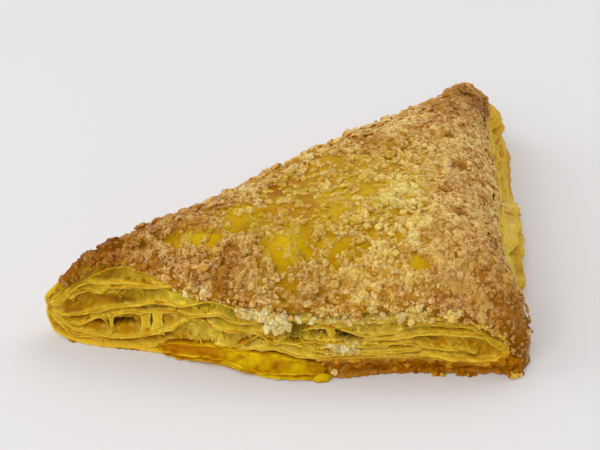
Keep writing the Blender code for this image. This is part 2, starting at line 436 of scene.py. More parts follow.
def grainGroup():   # fine baked grain: a shade to multiply a colour with, a mottle from 0 to 1, and a height
    group, given, wanted, place, perSize = startGroup(
        "bakedGrain", {"Size": 1.0, "Depth": 0.3}, {"Shade": "Color", "Mottle": "Float", "Height": "Float"})
    fine = addNode(group, "TexNoise", {"Vector": place, "Scale": perSize, "Detail": 5.0, "Roughness": 0.62})["Fac"]
    quarter = mathNode(group, "MULTIPLY", perSize, 0.22)
    broad = addNode(group, "TexNoise", {"Vector": place, "Scale": quarter, "Detail": 3.0})["Fac"]
    low, high = (mathNode(group, operation, 1.0, given["Depth"]) for operation in ("SUBTRACT", "ADD"))
    fillInputs(group, wanted, {"Shade": rangeNode(group, fine, 0.3, 0.7, low, high), "Mottle": broad, "Height": fine})
    return group


def rimGroup():   # thin outlines round small crystals of two sizes: 1 on an outline, 0 inside a crystal
    group, _, wanted, place, perSize = startGroup("crystalRims", {"Size": 1.5}, {"Rim": "Float"})
    wander = addNode(group, "TexNoise", {"Vector": place, "Scale": perSize, "Detail": 2.0})["Color"]
    moved = addNode(group, "VectorMath", {0: wander, 1: (0.0012,) * 3, 2: place}, operation="MULTIPLY_ADD")[0]
    rims = []
    for share, reach, strength in ((1.0, 0.12, 1.0), (2.1, 0.14, 0.4)):
        scale = mathNode(group, "MULTIPLY", perSize, share)
        cells = addNode(group, "TexVoronoi", {"Vector": moved, "Scale": scale},
                        feature="DISTANCE_TO_EDGE")["Distance"]
        rims.append(rangeNode(group, cells, 0.0, reach, strength, 0.0, interpolation_type="SMOOTHSTEP"))
    fillInputs(group, wanted, {"Rim": mathNode(group, "MAXIMUM", *rims)})
    return group


bakedGrain = grainGroup()
crystalRims = rimGroup()


def pastryFinish(name, look):   # a baked or sugary finish that follows the piece's own tones
    material = bpy.data.materials.new(name)
    material.use_nodes = True
    tree = material.node_tree
    grain = addNode(tree, "Group", {"Size": look["grainSize"], "Depth": look["grainDepth"]}, node_tree=bakedGrain)
    own = addNode(tree, "Attribute", {}, attribute_name="tone")
    pale = addNode(tree, "Mix", {"Factor": 1.0, "A": own["Color"], "B": grain["Shade"]}, data_type="RGBA",
                   blend_type="MULTIPLY")["Result"]
    # pale outlines round small crystals on raised places: on the sugar painted highlight along crystal edges, on crust
    # and layers a faint pale lace
    if look["rims"] > 0:
        rim = addNode(tree, "Group", {"Size": look["rimSize"]}, node_tree=crystalRims)["Rim"]
        patchy = rangeNode(tree, grain["Mottle"], 0.4, 0.58, 0.15 * look["rims"], look["rims"])
        share = mathNode(tree, "MULTIPLY", mathNode(tree, "MULTIPLY", rim, patchy), own["Alpha"])
        pale = addNode(tree, "Mix", {"Factor": share, "A": pale, "B": (*tone(*look["rimTone"]), 1)},
                       data_type="RGBA")["Result"]
    bump = addNode(tree, "Bump", {"Height": grain["Height"], "Strength": look["bump"],
                                  "Distance": look["grainSize"] * 0.5 * mm})
    fillInputs(tree, tree.nodes["Principled BSDF"], {
        "Base Color": pale, "Roughness": rangeNode(tree, grain["Mottle"], 0.35, 0.65, *look["roughness"]),
        "Normal": bump["Normal"], "Subsurface Weight": look["depthOfGlow"][0],
        "Subsurface Radius": look["glowSpread"], "Subsurface Scale": look["depthOfGlow"][1] * mm,
        "Specular IOR Level": look["shine"], "Specular Tint": (*look["glossTint"], 1)})
    return material


# grain, gloss and glow of each finish: sizes in mm, roughness from and to, glow as share and depth in mm
crustFinish = pastryFinish("eggWashedCrust", {
    "grainSize": 0.9, "grainDepth": 0.12, "roughness": (0.25, 0.42), "bump": 0.4, "depthOfGlow": (0.4, 1.6),
    "shine": 0.12, "rims": 0.1, "rimSize": 2.2, "rimTone": (226, 186, 60), "glossTint": (1.0, 0.8, 0.15),
    "glowSpread": (1.0, 1.0, 1.0)})
layerFinish = pastryFinish("bakedLayers", {
    "grainSize": 0.8, "grainDepth": 0.16, "roughness": (0.35, 0.55), "bump": 0.5, "depthOfGlow": (0.5, 0.9),
    "shine": 0.1, "rims": 0.2, "rimSize": 1.5, "rimTone": (236, 214, 110), "glossTint": (1.0, 0.85, 0.25),
    "glowSpread": (1.0, 1.0, 1.0)})
sugarFinish = pastryFinish("bakedSugar", {
    "grainSize": 0.8, "grainDepth": 0.2, "roughness": (0.1, 0.24), "bump": 0.4, "depthOfGlow": (0.5, 0.8),
    "shine": 0.22, "rims": 0.78, "rimSize": 1.8, "rimTone": (246, 220, 164), "glossTint": (1.0, 0.84, 0.2),
    "glowSpread": (1.0, 0.7, 0.2)})
glazeFinish = pastryFinish("amberGlaze", {
    "grainSize": 0.8, "grainDepth": 0.16, "roughness": (0.25, 0.42), "bump": 0.3, "depthOfGlow": (0.4, 1.8),
    "shine": 0.14, "rims": 0, "glossTint": (1.0, 0.8, 0.15), "glowSpread": (1.0, 1.0, 1.0)})


# The crust: one skin over the dome, round the fold and round the two end corners, open along the two cut edges.

crustLook = {
    "columns": 600, "domeRings": 88, "sideRings": 24, "thickness": 1.0,
    "openings": ((-0.03, 0.985), (1.13, 2.04)), "openingRound": 0.035, "lip": 0.045, "lipRag": 0.55,
    # smooth raised or sunken places of the skin: x, y, half width, height in mm
    "blisters": [(60.5, 9.5, 5.5, 1.7), (49, 15, 5, 0.9), (41, 13, 4.5, 0.9), (36, 11, 4, 0.8), (72, 9, 5, 0.9),
                 (76, 37, 4.5, 0.9), (93, 7, 4, 0.8), (53, 18, 4, -0.8), (45, 20, 4, -0.6), (82, 24, 7, 1.1),
                 (103, 53, 2.2, -0.8), (100, 70, 2.5, -0.7), (104, 28, 3, -0.6), (27, 7, 5, 0.8), (88, 60, 8, 1.0),
                 (66, 50, 9, 0.9), (98, 90, 6, 0.8)],
    "paleSpots": ((60.5, 9.5, 6, 1.0), (36, 12, 8, 0.9), (76, 32, 9, 0.8), (48, 15, 9, 0.5), (93, 7, 5, 0.8)),
    "brownSpots": ((8, 8, 9, 1.0), (16, 11, 8, 1.0), (22, 12, 6, 0.6), (49, 13, 4, 0.5), (110, 104, 10, 0.8),
                   (112, 4, 9, 0.4), (104, 28, 4, 0.6)),
}


def skinReach(place):   # how far down the side the crust goes: 1 to the foot, the lip only along an opening
    at, soft = np.where(place > 2.5, place - 3, place), crustLook["openingRound"]
    front, right = (ease((at - start) / soft) * ease((end - at) / soft) for start, end in crustLook["openings"])
    return 1 - np.clip(front + right, 0, 1) * (1 - crustLook["lip"])


def blisterHeight(x, y):   # the blisters' round swellings added up
    total = np.zeros_like(x)
    for bx, by, size, height in crustLook["blisters"]:
        far = np.hypot(x - bx, y - by) / size
        total += height * np.clip(1 - far ** 2, 0, 1) ** 1.5
    return total


def crustSurface():   # rings from the middle of the dome outwards and down the side, before the finer relief
    runs = np.linspace(0, outlineLength, crustLook["columns"], endpoint=False)
    edge = wallPoint(runs, np.ones(len(runs)))
    place = edgeAt(runs)[2]
    dome = [domeRing(edge, s) for s in 0.008 + 0.992 * np.linspace(0, 1, crustLook["domeRings"]) ** 0.8]
    side = [wallPoint(runs, 1 - t * skinReach(place)) for t in np.linspace(0, 1, crustLook["sideRings"] + 1)[1:]]
    return smoothed(np.array(dome + side), 4), runs, place


def crustTone(grid, place, sideShare):   # golden with brown and pale spots; blotchy brown down the fold; a pale nose
    x, y = grid[..., 0], grid[..., 1]
    mottle = layeredNoise(grid / 6.0, 3, 3)
    colour = tinted(grid.shape, (186, 134, 10), ((152, 90, 6), 0.45 + 0.9 * mottle))
    colour = colour * (1 + 0.2 * layeredNoise(grid / 2.0, 13, 2))[..., None]
    patches = ease((layeredNoise(grid / 9.0, 8, 2) + 0.1) / 0.35) * bell(np.hypot((x - 70) / 30, (y - 28) / 30))
    colour = layered(colour, ((204, 162, 20), patches), ((144, 86, 6), 0.8 * ease((x - 94) / 12)))
    colour = spotted(colour, x, y, (212, 176, 26), crustLook["paleSpots"])
    colour = spotted(colour, x, y, (120, 66, 12), crustLook["brownSpots"])
    corner = ease((place - 0.9) / 0.08) * ease((1.2 - place) / 0.08)
    nose = 1 - ease((np.hypot(x + 8, y - 1) - 7) / 6)
    blotches = layeredNoise(grid / 4.0, 9, 3)
    colour = layered(colour, ((150, 92, 28), sideShare * (0.55 + 0.4 * mottle)),
                     ((206, 158, 60), 0.8 * sideShare * ease(blotches / 0.3)),
                     ((104, 54, 10), 0.7 * sideShare * ease((-blotches - 0.05) / 0.3)),
                     ((122, 68, 16), sideShare * corner * 0.6))
    return blendTone(colour, tone(208, 172, 50) * (1 + 0.3 * mottle)[..., None], nose)


def makeCrust():   # the outer skin with its relief, and a coarser inner skin a thickness below it
    grid, runs, place = crustSurface()
    rings, columns = grid.shape[:2]
    domeRings = crustLook["domeRings"]
    normal = -gridNormals(grid)
    sideShare = ease((np.arange(rings) - domeRings + 8) / 12.0)[:, None] * np.ones(columns)
    swell = blisterHeight(grid[..., 0], grid[..., 1]) * (1 - sideShare)
    relief = swell + 0.55 * layeredNoise(grid / 7.0, 21, 3) + 0.16 * layeredNoise(grid / 1.6, 33, 2)
    nearLip = ease((np.arange(rings) - rings + 9) / 8.0)[:, None] * (1 - skinReach(place))[None]
    rag = lineNoise(runs, 5, 2.6) + 0.7 * lineNoise(runs, 6, 0.9)
    outer = grid + normal * relief[..., None]
    out = edgeAt(runs)[1]
    outer[..., :2] += nearLip[..., None] * out * (0.5 + crustLook["lipRag"] * rag)[:, None]
    outer[..., 2] += nearLip * crustLook["lipRag"] * 0.6 * lineNoise(runs, 9, 1.7)
    keep = np.concatenate([np.arange(0, domeRings - 4, 12), np.arange(domeRings - 4, rings, 3), [rings - 1]])
    keep = np.unique(keep)[::-1]
    inner = (outer - normal * crustLook["thickness"])[keep]
    inner[..., 2] = np.maximum(inner[..., 2], 0.05)
    outer[..., 2] = np.maximum(outer[..., 2], 0.0)
    colours = np.concatenate([crustTone(outer, place, sideShare), crustTone(inner, place, sideShare[keep]) * 0.9])
    points, faces, colours = closedBody(np.concatenate([outer, inner]), colours)
    return makePiece("crust", points, faces, crustFinish, colours), outer, normal, place


crust, crustOuter, crustNormal, crustPlace = makeCrust()
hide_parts("turnover")


# The cut front: the lips of the baked layers as lines, hollows between them, deep pockets behind.

frontLook = {
    "columns": 640, "rows": 110, "span": (-9.0, 123.5), "recess": 0.9,
    "hollow": 2.0, "hollowWidth": 1.7, "ridges": 0.22,
    # each lip: how far it stands proud, its thickness, then (distance along the edge from the tip, height) in mm
    "lips": [
        (0.9, 0.45, [(-1.1, 7.1), (0.4, 5.7), (2.5, 3.6), (4.3, 2.1), (6.2, 1.4), (9.9, 2.0), (12.6, 1.3),
                     (14.9, 0.5), (18, 0.4), (23.4, 0.7), (27.5, 1.5), (29.4, 2.2)]),
        (0.5, 0.4, [(2.2, 5), (5.7, 2.9), (9.3, 2.9), (12.6, 2.6), (16.7, 2.4), (20.6, 2.7), (24.7, 3.6),
                    (28.8, 5.4), (32.2, 7.1), (34.5, 9), (36.5, 10.8)]),
        (0.7, 0.3, [(0.2, 7.1), (1.7, 6.1), (4.3, 4.9), (6.5, 4.5), (8.4, 5.2), (10.1, 6.7), (11.7, 7.5),
                    (13, 7.5), (14.2, 6.2), (15.2, 3.6)]),
        (0.8, 0.3, [(14.9, 7.7), (16.6, 8.4), (19.3, 9.2), (21.5, 9.7), (22.8, 9.2), (24.2, 10), (27.5, 11),
                    (31.8, 12), (34.6, 11.9), (37.3, 11.6), (41.4, 12.6), (44.1, 13.8), (45.9, 13.7), (47.5, 12.9),
                    (49.7, 12.5), (52.7, 12.9), (55.1, 13)]),
        (0.6, 0.5, [(-0.5, 8), (1.7, 7.1), (4.4, 7), (7.1, 7.3), (9.8, 8.2), (12.6, 9.2), (15.2, 10), (17.9, 10.7),
                    (20.7, 11.4), (23.4, 12.1), (27.6, 13.2), (31.8, 13.9), (34.6, 14.1), (37.4, 15), (40.1, 16.3),
                    (42.7, 17.2), (45.4, 17.3), (47.5, 16.7), (49.7, 16)]),
        (0.3, 0.6, [(-0.1, 9.1), (1.8, 10.8), (4, 12.9), (6.1, 14.9), (8.5, 15.9), (11.2, 16.3), (13.9, 16.5),
                    (17.4, 17.1), (22.1, 17.6), (26.3, 18), (30.5, 18.8), (34.7, 20.2), (38, 20.6)]),
        (0.2, 0.3, [(4.5, 11.7), (7.2, 13.1), (9.3, 13.8), (10.6, 13.4), (12.6, 14.1), (14.2, 15.1), (15.8, 15.3),
                    (19.4, 16), (23.5, 16.5), (27.6, 17.4), (30.5, 18.4), (33.3, 18.7), (36, 18.8)]),
        (0.8, 0.35, [(-1, 9.5), (2.4, 11.8), (4.5, 14.1), (7.2, 16.3), (9.1, 17.5), (10.6, 18.5), (12.6, 19.5),
                     (14.8, 20.5), (16.7, 21.3), (19.5, 22), (22.2, 22.3), (25, 22.3), (26.9, 21.8), (28.7, 21),
                     (30, 20.1)]),
        (0.9, 0.35, [(-2, 10), (1, 12.6), (2.8, 15), (4.6, 17.1), (6.7, 18.5), (8.5, 19.6), (10.4, 20.9),
                     (12.6, 21.9), (15.3, 22.5), (18, 23)]),
        (0.6, 0.3, [(36.5, 11.1), (40.1, 11.5), (41.9, 11), (43.5, 9.9), (44.9, 9.7), (48, 9.7), (52, 9.7),
                    (55.4, 10)]),
        (0.6, 0.3, [(44.1, 4.7), (48.1, 5.6), (50.7, 6.4), (53.4, 8), (55.4, 9.6), (56.9, 11), (58.5, 11.8),
                    (60, 12.3), (62.1, 12.9)]),
        (0.6, 0.4, [(53.9, 10.8), (56.5, 10.1), (58, 8.6), (59.9, 7.8), (61.6, 8.6), (63.7, 8.8), (66.2, 8.5),
                    (68.3, 7.5), (71.4, 6.8), (75.1, 6.2), (78.9, 5.9), (84, 5.6), (91.4, 5.6), (96.4, 6)]),
        (0.4, 0.35, [(46.8, 4.3), (50.7, 5), (53.4, 5.7), (56.6, 6.3), (59.1, 6.6), (61.2, 6.2), (63.8, 5.6),
                     (66.4, 5), (72.8, 4.9)]),
        (0.4, 0.35, [(92.4, 12.4), (96.1, 13.3), (98.6, 13.7), (102.4, 13.5), (106.1, 13.5), (109.9, 12.5),
                     (113.8, 10.9), (116.5, 8.9), (118.4, 7.2)]),
        (0.3, 0.5, [(83, 9.3), (87, 9), (91.3, 9.4), (96.2, 10.6), (101.2, 10.8), (106.3, 10.7), (110, 10.6),
                    (113.1, 9.9), (115.2, 8.2), (116.7, 6.4)]),
        (0.3, 0.5, [(82, 7.2), (87.5, 7.9), (91.3, 8.1), (95.2, 7.1), (98.9, 6.8), (102.8, 6.4), (106.6, 6.3),
                    (110.4, 5.6)]),
        (0.8, 1.5, [(98, 15.6), (104.7, 15.6), (108.5, 14.8), (112.3, 13.6), (115.2, 12.1), (117.6, 10.6),
                    (119.2, 9), (119.8, 7.2), (119.0, 5.5), (116.8, 4.3), (113.8, 3.6), (110.5, 3.2), (106.8, 3.4),
                    (104.2, 3.6), (101.6, 4.3), (97.8, 4.6)]),
        (0.1, 0.3, [(62.3, 15.1), (66.1, 14.9), (71.1, 14.4), (76.1, 14.4), (81.1, 14.4), (86.1, 14.1),
                    (91.1, 14.6), (96, 14.6)]),
        (0.3, 0.3, [(66.2, 11.8), (68.7, 12.8), (72.5, 13.2), (76.2, 12.8), (79.3, 11.6), (82.8, 10.2),
                    (86.2, 10.8), (89.9, 11), (92.4, 12.4)]),
        (0.6, 0.4, [(61.9, 8.6), (64.2, 8.4), (67.5, 9.1), (70.1, 9.3), (73.8, 9.1), (77.5, 8.7), (80, 8),
                    (83.8, 7.4), (88, 7.2)]),
        (0.8, 0.5, [(70.9, 4.4), (74, 4.9), (77.7, 4.9), (84, 4.6), (91.4, 4.2), (99.1, 3.7), (104.2, 3.1)]),
    ],
    # places where the crumb is a lace of small bubbles: middle along the edge, middle height, half sizes, strength
    "lace": [(41, 17, 9, 3.4, 1.0), (53, 14, 6, 2.4, 0.7), (66, 11.5, 8, 3, 0.8), (80, 13.8, 15, 2.6, 0.9),
             (98, 9, 8, 4, 0.5), (109, 9, 8, 4, 0.5), (52, 8, 6, 2, 0.5), (39, 7, 6, 2.4, 0.4), (80, 8, 9, 2, 0.6),
             (24, 15, 8, 1.6, 0.4)],
    # hollows behind the lips: middle along the edge, middle height, half length, half height, depth in mm
    "pockets": [
        (20, 19.6, 9.5, 2.5, 2.2), (22, 14.6, 11, 1.7, 1.3), (8, 12.6, 4.5, 1.2, 1.0), (8, 10, 5, 1.4, 0.9),
        (5.5, 6.2, 5, 0.6, 1.8), (15, 5.6, 8, 1.0, 4.2), (24, 6.6, 5.5, 1.6, 1.6), (29.5, 4.2, 2.6, 0.9, 2.6),
        (18, 1.7, 5, 0.45, 1.8), (26, 2.6, 3, 0.5, 1.6), (35, 17.5, 5, 1.4, 2.2), (42, 18.9, 5.5, 1.0, 2.2),
        (50, 14.4, 6, 1.1, 1.8), (41.5, 14.6, 4, 0.8, 1.4), (39, 15, 1.4, 1, 2.2), (43, 11.9, 5, 0.6, 2.2),
        (38, 6.8, 6, 2.2, 1.8), (50, 7.6, 5.2, 1.5, 2.2), (53.5, 9.0, 3, 0.7, 3.2), (57.3, 8.5, 2.2, 1.0, 2.4),
        (55, 5.2, 4.5, 0.5, 2.2), (66, 11.4, 6, 2.1, 3.4), (65.5, 9.1, 4, 0.45, 4.4), (67.6, 13.2, 1.1, 0.8, 3),
        (63, 5.2, 4, 0.4, 2.6), (74, 11.2, 5.5, 1.2, 3.6), (79.5, 9.9, 4.6, 0.95, 6.2), (87, 8.3, 4.2, 0.5, 3.8),
        (81, 15.8, 5, 0.7, 1.6), (92.5, 13.4, 1.6, 1.2, 1.8), (76, 6.8, 6, 0.7, 1.2), (99.5, 8.9, 2.2, 0.9, 1.8),
        (109, 8.8, 1.4, 0.7, 1.5), (110, 4.4, 2.2, 0.7, 2.0), (104, 12.2, 6, 0.6, 0.8), (103, 5.4, 4, 0.4, 1.2),
        (92, 6.7, 4, 0.5, 1.2), (115.5, 6, 2.4, 1.6, 0.8), (35.5, 11, 3, 0.6, 1.5)],
}


def lineGap(run, height, lips):   # distance to the nearest lip, half its thickness taken off
    gap = np.full(run.shape, 99.0)
    for _, thick, points in lips:
        for (ra, za), (rb, zb) in zip(points[:-1], points[1:]):
            dr, dz = rb - ra, zb - za
            t = np.clip(((run - ra) * dr + (height - za) * dz) / (dr * dr + dz * dz), 0, 1)
            gap = np.minimum(gap, np.hypot(run - ra - t * dr, height - za - t * dz) - thick * 0.5)
    return np.maximum(gap, 0)


def pocketDepth(run, height, pockets):   # smooth-sided hollows and the painted shade inside them, the deepest one counts
    depth, pocketShade = np.zeros_like(run), np.zeros_like(run)
    for middle, level, half, tall, deep in pockets:
        wobble = 0.12 * np.sin(run * 1.3 + level) + 0.1 * np.sin(run * 2.9 + middle)
        far = np.sqrt(((run - middle) / half) ** 2 + ((height - level) / tall + wobble) ** 2)
        share = 1 - ease((far - 0.45) / 0.6)
        depth = np.maximum(depth, deep * share)
        # painted shade: the deeper hollows are coloured darker inside
        pocketShade = np.maximum(pocketShade, ease((deep - 2.4) / 2.8) * ease(share / 0.4 - 0.1))
    return depth, pocketShade


def lacePattern(run, height):   # how lacy a place is, how near a bubble's wall it is, and one value for each bubble
    lace = np.zeros_like(run)
    for middle, level, half, tall, strength in frontLook["lace"]:
        far = np.hypot((run - middle) / half, (height - level) / tall)
        lace = np.maximum(lace, strength * (1 - ease((far - 0.6) / 0.5)))
    p = spread(run, height, 2.3, 1.15)
    first, second, value = cellPattern(p + 0.35 * drift(p * 1.3, 53), 52)
    return lace, bell((second - first) / 0.17), value


def bubbleSpots(run, height):   # round pale bubbles: 1 in the middle of each, and one value for each
    p = spread(run, height, 2.2, 1.5)
    first, _, value = cellPattern(p + 0.4 * drift(p * 1.1, 83), 85)
    return bell(first / 0.5), value


def frontRelief(run, height):   # how far the crumb stands in from the lips
    gap = lineGap(run, height, frontLook["lips"])
    pocket, pocketShade = pocketDepth(run, height, frontLook["pockets"])
    brown = brownRim(run, height)
    nose = 1 - ease((run - 1.0) / 7)
    hollow = frontLook["hollow"] * ease(gap / frontLook["hollowWidth"]) * (1 - 0.6 * brown) * (1 - 0.85 * nose)
    ridges = frontLook["ridges"] * layeredNoise(spread(run, height, 5.0, 0.8), 41, 3)
    lace, wall, value = lacePattern(run, height)
    froth = lace * (0.3 + 1.1 * value) * (1 - wall)
    lumps = layeredNoise(spread(run, height, 1.7, 1.2), 61, 2)
    bubbles = 0.45 * bubbleSpots(run, height)[0] * ease(gap / 0.8) * (1 - brown) * (1 - nose)
    relief = -hollow - pocket * (1 - 0.8 * nose) + ridges + bubbles - froth * (1 - brown)
    relief = relief + brown * (0.9 + 0.9 * lumps) + 0.4 * nose
    return relief, gap, pocketShade


def brownRim(run, height):   # the caramelised bottom rim along the right part of the front
    top = np.interp(run, [68, 74, 84, 91, 99, 104, 112, 118, 124], [0.5, 4.6, 4.4, 4.0, 3.5, 2.8, 2.6, 3.6, 6])
    top = top + 0.5 * lineNoise(run, 71, 3.0) + 0.3 * lineNoise(run, 72, 1.1)
    return ease((top - height) / 0.5 + 0.5)


# colour zones of the front: middle along the edge, middle height, half length, half height in mm, colour, share
frontTints = [
    (2, 11, 9, 8, (168, 118, 16), 0.8), (8, 15, 9, 6, (206, 170, 50), 0.7), (20, 19.6, 10, 2.6, (236, 220, 140), 0.9),
    (20, 17.4, 12, 0.9, (156, 108, 6), 0.85), (23, 14.8, 12, 1.8, (204, 190, 116), 0.8),
    (24, 11.6, 14, 1.2, (106, 66, 0), 1.0), (8, 7.6, 8, 0.9, (130, 74, 4), 0.8), (14, 10, 8, 2, (190, 148, 36), 0.6),
    (17, 4.8, 10, 2.4, (200, 150, 20), 0.75), (40, 17, 9, 4, (222, 222, 84), 0.85),
    (44, 19.4, 8, 1.4, (158, 146, 48), 0.75), (43, 10.6, 9, 1.6, (198, 190, 70), 0.75),
    (40, 7, 8, 2.6, (222, 216, 136), 0.85), (52, 14, 8, 3, (178, 174, 80), 0.8),
    (52, 7.5, 6, 2, (246, 240, 170), 0.85), (66, 12, 8, 3.4, (220, 218, 140), 0.85),
    (80, 14.5, 16, 3.2, (216, 210, 160), 0.85), (78, 7, 10, 1.6, (244, 236, 180), 0.85),
    (66, 7, 8, 2, (206, 184, 54), 0.7), (108, 11, 18, 7, (202, 150, 24), 0.75),
    (102, 9.5, 14, 2.4, (214, 170, 54), 0.7), (94, 12, 5, 2, (186, 178, 96), 0.6)]


def frontTone(run, height, gap, pocketShade):   # zones of crumb colour, pale bubble walls, lips paled with painted highlight, painted shade in the creases under the lips and in the deep pockets, and a caramel rim with painted golden highlights
    wander = layeredNoise(spread(run, height, 4.0, 2.0), 81, 2)
    colour = tinted(run.shape + (3,), (204, 166, 56), ((184, 134, 26), 0.4 + 0.6 * wander))
    for middle, level, half, tall, other, share in frontTints:
        far = np.sqrt(((run - middle) / half) ** 2 + ((height - level) / tall) ** 2)
        colour = blendTone(colour, tone(*other), share * (1 - ease(far - 0.4)))
    lace, wall, value = lacePattern(run, height)
    bubble, pale = bubbleSpots(run, height)
    # painted shade: a brown band just below each lip, where the lip's shadow falls
    underLipShade = bell(lineGap(run, height + 0.55, frontLook["lips"]) / 0.5) * ease(gap / 0.3)
    colour = layered(colour, ((170, 136, 34), 0.5 * lace * (1 - wall) * value), ((234, 214, 128), 0.65 * lace * wall),
                     ((234, 218, 190), 0.55 * bubble * ease((pale - 0.5) / 0.2)),
                     ((126, 76, 4), 0.75 * underLipShade * ease((wander + 0.35) / 0.5)),
                     # lips paled with painted highlight; near-black painted shade deep in the pockets
                     ((232, 210, 132), 0.75 * bell(gap / 0.5)), ((48, 24, 2), 0.95 * pocketShade * ease((gap - 0.05) / 0.3)))
    colour = colour * (1 + 0.24 * layeredNoise(spread(run, height, 1.2, 0.6), 91, 3))[..., None]
    ends = np.maximum(ease((36 - run) / 10), ease((run - 92) / 8))
    colour = colour * (1 - ends[..., None] * np.array([0.12, 0.15, 0.5]))
    brown = brownRim(run, height)
    burnt = layeredNoise(spread(run, height, 1.8), 95, 2)
    colour = blendTone(colour, tone(156, 90, 10) * (1 + 0.35 * burnt)[..., None], 0.9 * brown)
    # paler golden patches on the caramel rim: painted highlights
    return blendTone(colour, tone(214, 166, 60), 0.7 * brown * ease((burnt - 0.1) / 0.3))


def sideBody(name, span, columns, rows, reliefAt, toneAt, backDepth):
    # a closed body: relief on the outside from foot to crust, a plain back inside, its two ends fanned shut
    runs = np.linspace(*span, columns)
    runGrid, vGrid = np.meshgrid(runs, np.linspace(-0.01, 1.0, rows))
    height = wallPoint(runGrid, vGrid)[..., 2]
    relief, gap, pocketShade = reliefAt(runGrid, height)
    relief = np.maximum(relief, -(backDepth(runs) - 0.8)[None] - frontLook["recess"])
    outer = wallPoint(runGrid, vGrid, relief - frontLook["recess"])
    droop = 0.35 * lineNoise(runs, 12, 3.0)[None] * np.sin(math.pi * np.clip(vGrid, 0, 1))
    outer[..., 2] += droop
    back = wallPoint(*np.meshgrid(runs, np.linspace(1.0, -0.01, 7)), -backDepth(runs)[None] - frontLook["recess"])
    grid = np.concatenate([outer, back])
    grid[..., 2] = np.maximum(grid[..., 2], floorGap)
    colours = np.concatenate([toneAt(runGrid, height, gap, pocketShade), tinted(back.shape, (190, 150, 60))])
    return joinBodies(name, [closedBody(grid, colours, across=True)], layerFinish)


def frontBack(runs):   # how deep the body reaches behind the front, less towards both ends
    return 1.6 + 7.5 * ease((runs - 3) / 24) * ease((128 - runs) / 14)


sideBody("frontLayers", frontLook["span"], frontLook["columns"], frontLook["rows"], frontRelief, frontTone, frontBack)


# section of a lip: from the root at -1 to the edge at 1, and from its underside at -1 to its top at 1
bladeSection = np.array([(-1.0, -1.0), (-0.3, -0.9), (0.55, -0.7), (0.9, -0.45), (1.0, 0.0), (0.9, 0.45),
                         (0.55, 0.7), (-0.3, 0.9), (-1.0, 1.0)])


def lipRibbons(name, lips, look):   # thin blades: the section carried along each lip's line, tapered at both ends
    inOut, level = bladeSection.T
    bodies = []
    for k, (proud, thick, line) in enumerate(lips):
        line = np.array(line, float)
        steps = np.concatenate([[0], np.cumsum(np.hypot(*np.diff(line, axis=0).T))])
        along = np.linspace(0, steps[-1], max(int(steps[-1] / look["step"]), 6))
        path = np.stack([np.interp(along, steps, line[:, 0]), np.interp(along, steps, line[:, 1])], axis=-1)
        path = smoothed(path, look["smoothings"]).T
        run, height = path[0], path[1] + 0.14 * lineNoise(along, 101 + k, 1.6) + 0.1 * lineNoise(along, 131 + k, 0.7)
        taper = ease(along / 2.5) * ease((steps[-1] - along) / 2.5)
        lip = (proud + look["rag"] * (lineNoise(along, 151 + k, 2.2) + 0.6 * lineNoise(along, 171 + k, 0.8))) * taper
        half = 0.5 * thick * (0.35 + 0.65 * taper) * (1 + 0.3 * lineNoise(along, 191 + k, 1.3))
        direction = unit(np.stack([np.gradient(run), np.gradient(height)], axis=-1))
        root = look["root"] * (0.4 + 0.6 * taper)
        reach = np.where(inOut > 0, inOut * (lip + 0.02)[:, None], inOut * root[:, None])
        curl = look["curl"] * lineNoise(along, 211 + k, 4.0)[:, None] * np.clip(inOut, 0, 1) ** 2
        side = level * half[:, None] * np.where(inOut > 0.6, 0.6, 1.0) + curl
        r = run[:, None] - direction[:, 1:] * side
        z = height[:, None] + direction[:, :1] * side
        grid = wallSpot(r, z, reach - frontLook["recess"])[0]
        grid[..., 2] = np.maximum(grid[..., 2], floorGap)
        edge = np.clip(inOut, 0, 1) * np.ones(len(along))[:, None]
        amberWander = lineNoise(along, 231 + k, 3.0)[:, None] * np.ones(len(inOut))
        # paler towards each blade's outer edge: painted highlight along the lip; the amber wanders at random along it
        colour = tinted(grid.shape, (206, 164, 50), ((234, 210, 118), edge * 0.85),
                        ((190, 136, 22), 0.25 + amberWander * 0.9 - 0.3 * edge),
                        ((140, 82, 16), brownRim(r, z) * look["brown"]))
        bodies.append(closedBody(grid, colour))
    return joinBodies(name, bodies, layerFinish)


lipRibbons("frontLips", frontLook["lips"], {"step": 0.35, "rag": 0.28, "curl": 0.35, "brown": 1.0, "root": 2.2,
                                            "smoothings": 6})


# Webs of crumb that bridge the hollows: short tapered threads, worked out for all of them at once.

webLook = {
    # spans with threads: middle along the edge, middle height, half length, half height, threads, mean length in mm
    "spans": [(40, 17, 7, 2.5, 34, 2.0), (36, 12.5, 7, 2.2, 12, 2.2), (50, 14, 6, 2, 12, 2.2),
              (40, 6.5, 7, 2.4, 12, 3.0), (52, 8, 6, 2, 10, 2.4), (66, 11, 6, 3, 12, 2.6), (80, 13, 12, 3, 34, 1.8),
              (80, 8, 12, 2, 20, 1.6), (98, 8, 10, 4, 22, 1.6), (108, 8, 9, 4, 22, 1.5), (20, 14, 9, 2, 6, 2.4),
              (9, 10, 6, 2, 5, 2.0)],
    # single threads: distance along the edge, height and stand-in at one end, then at the other
    "clear": [[15.3, 7.8, -0.2, 15.6, 3.4, -0.6], [44.2, 9.6, -0.3, 43.2, 5.4, -0.5],
              [45.0, 9.6, -0.3, 46.2, 5.2, -0.9], [53.4, 10.6, -0.4, 58.6, 7.0, -0.2],
              [52.0, 5.8, -0.4, 60.4, 12.6, -0.2], [67.2, 12.4, -0.4, 70.3, 6.4, 0.1],
              [68.6, 11.8, -0.8, 70.6, 7.0, -0.1], [36.0, 15.6, -0.2, 40.6, 13.0, -0.4],
              [33.8, 19.4, -0.2, 38.6, 17.0, 0.1], [97.4, 9.6, -0.1, 100.4, 7.2, -0.3],
              [88.6, 11.0, -0.4, 92.4, 12.2, -0.2]],
    "radius": 0.11, "rings": 7, "sides": 6,
}


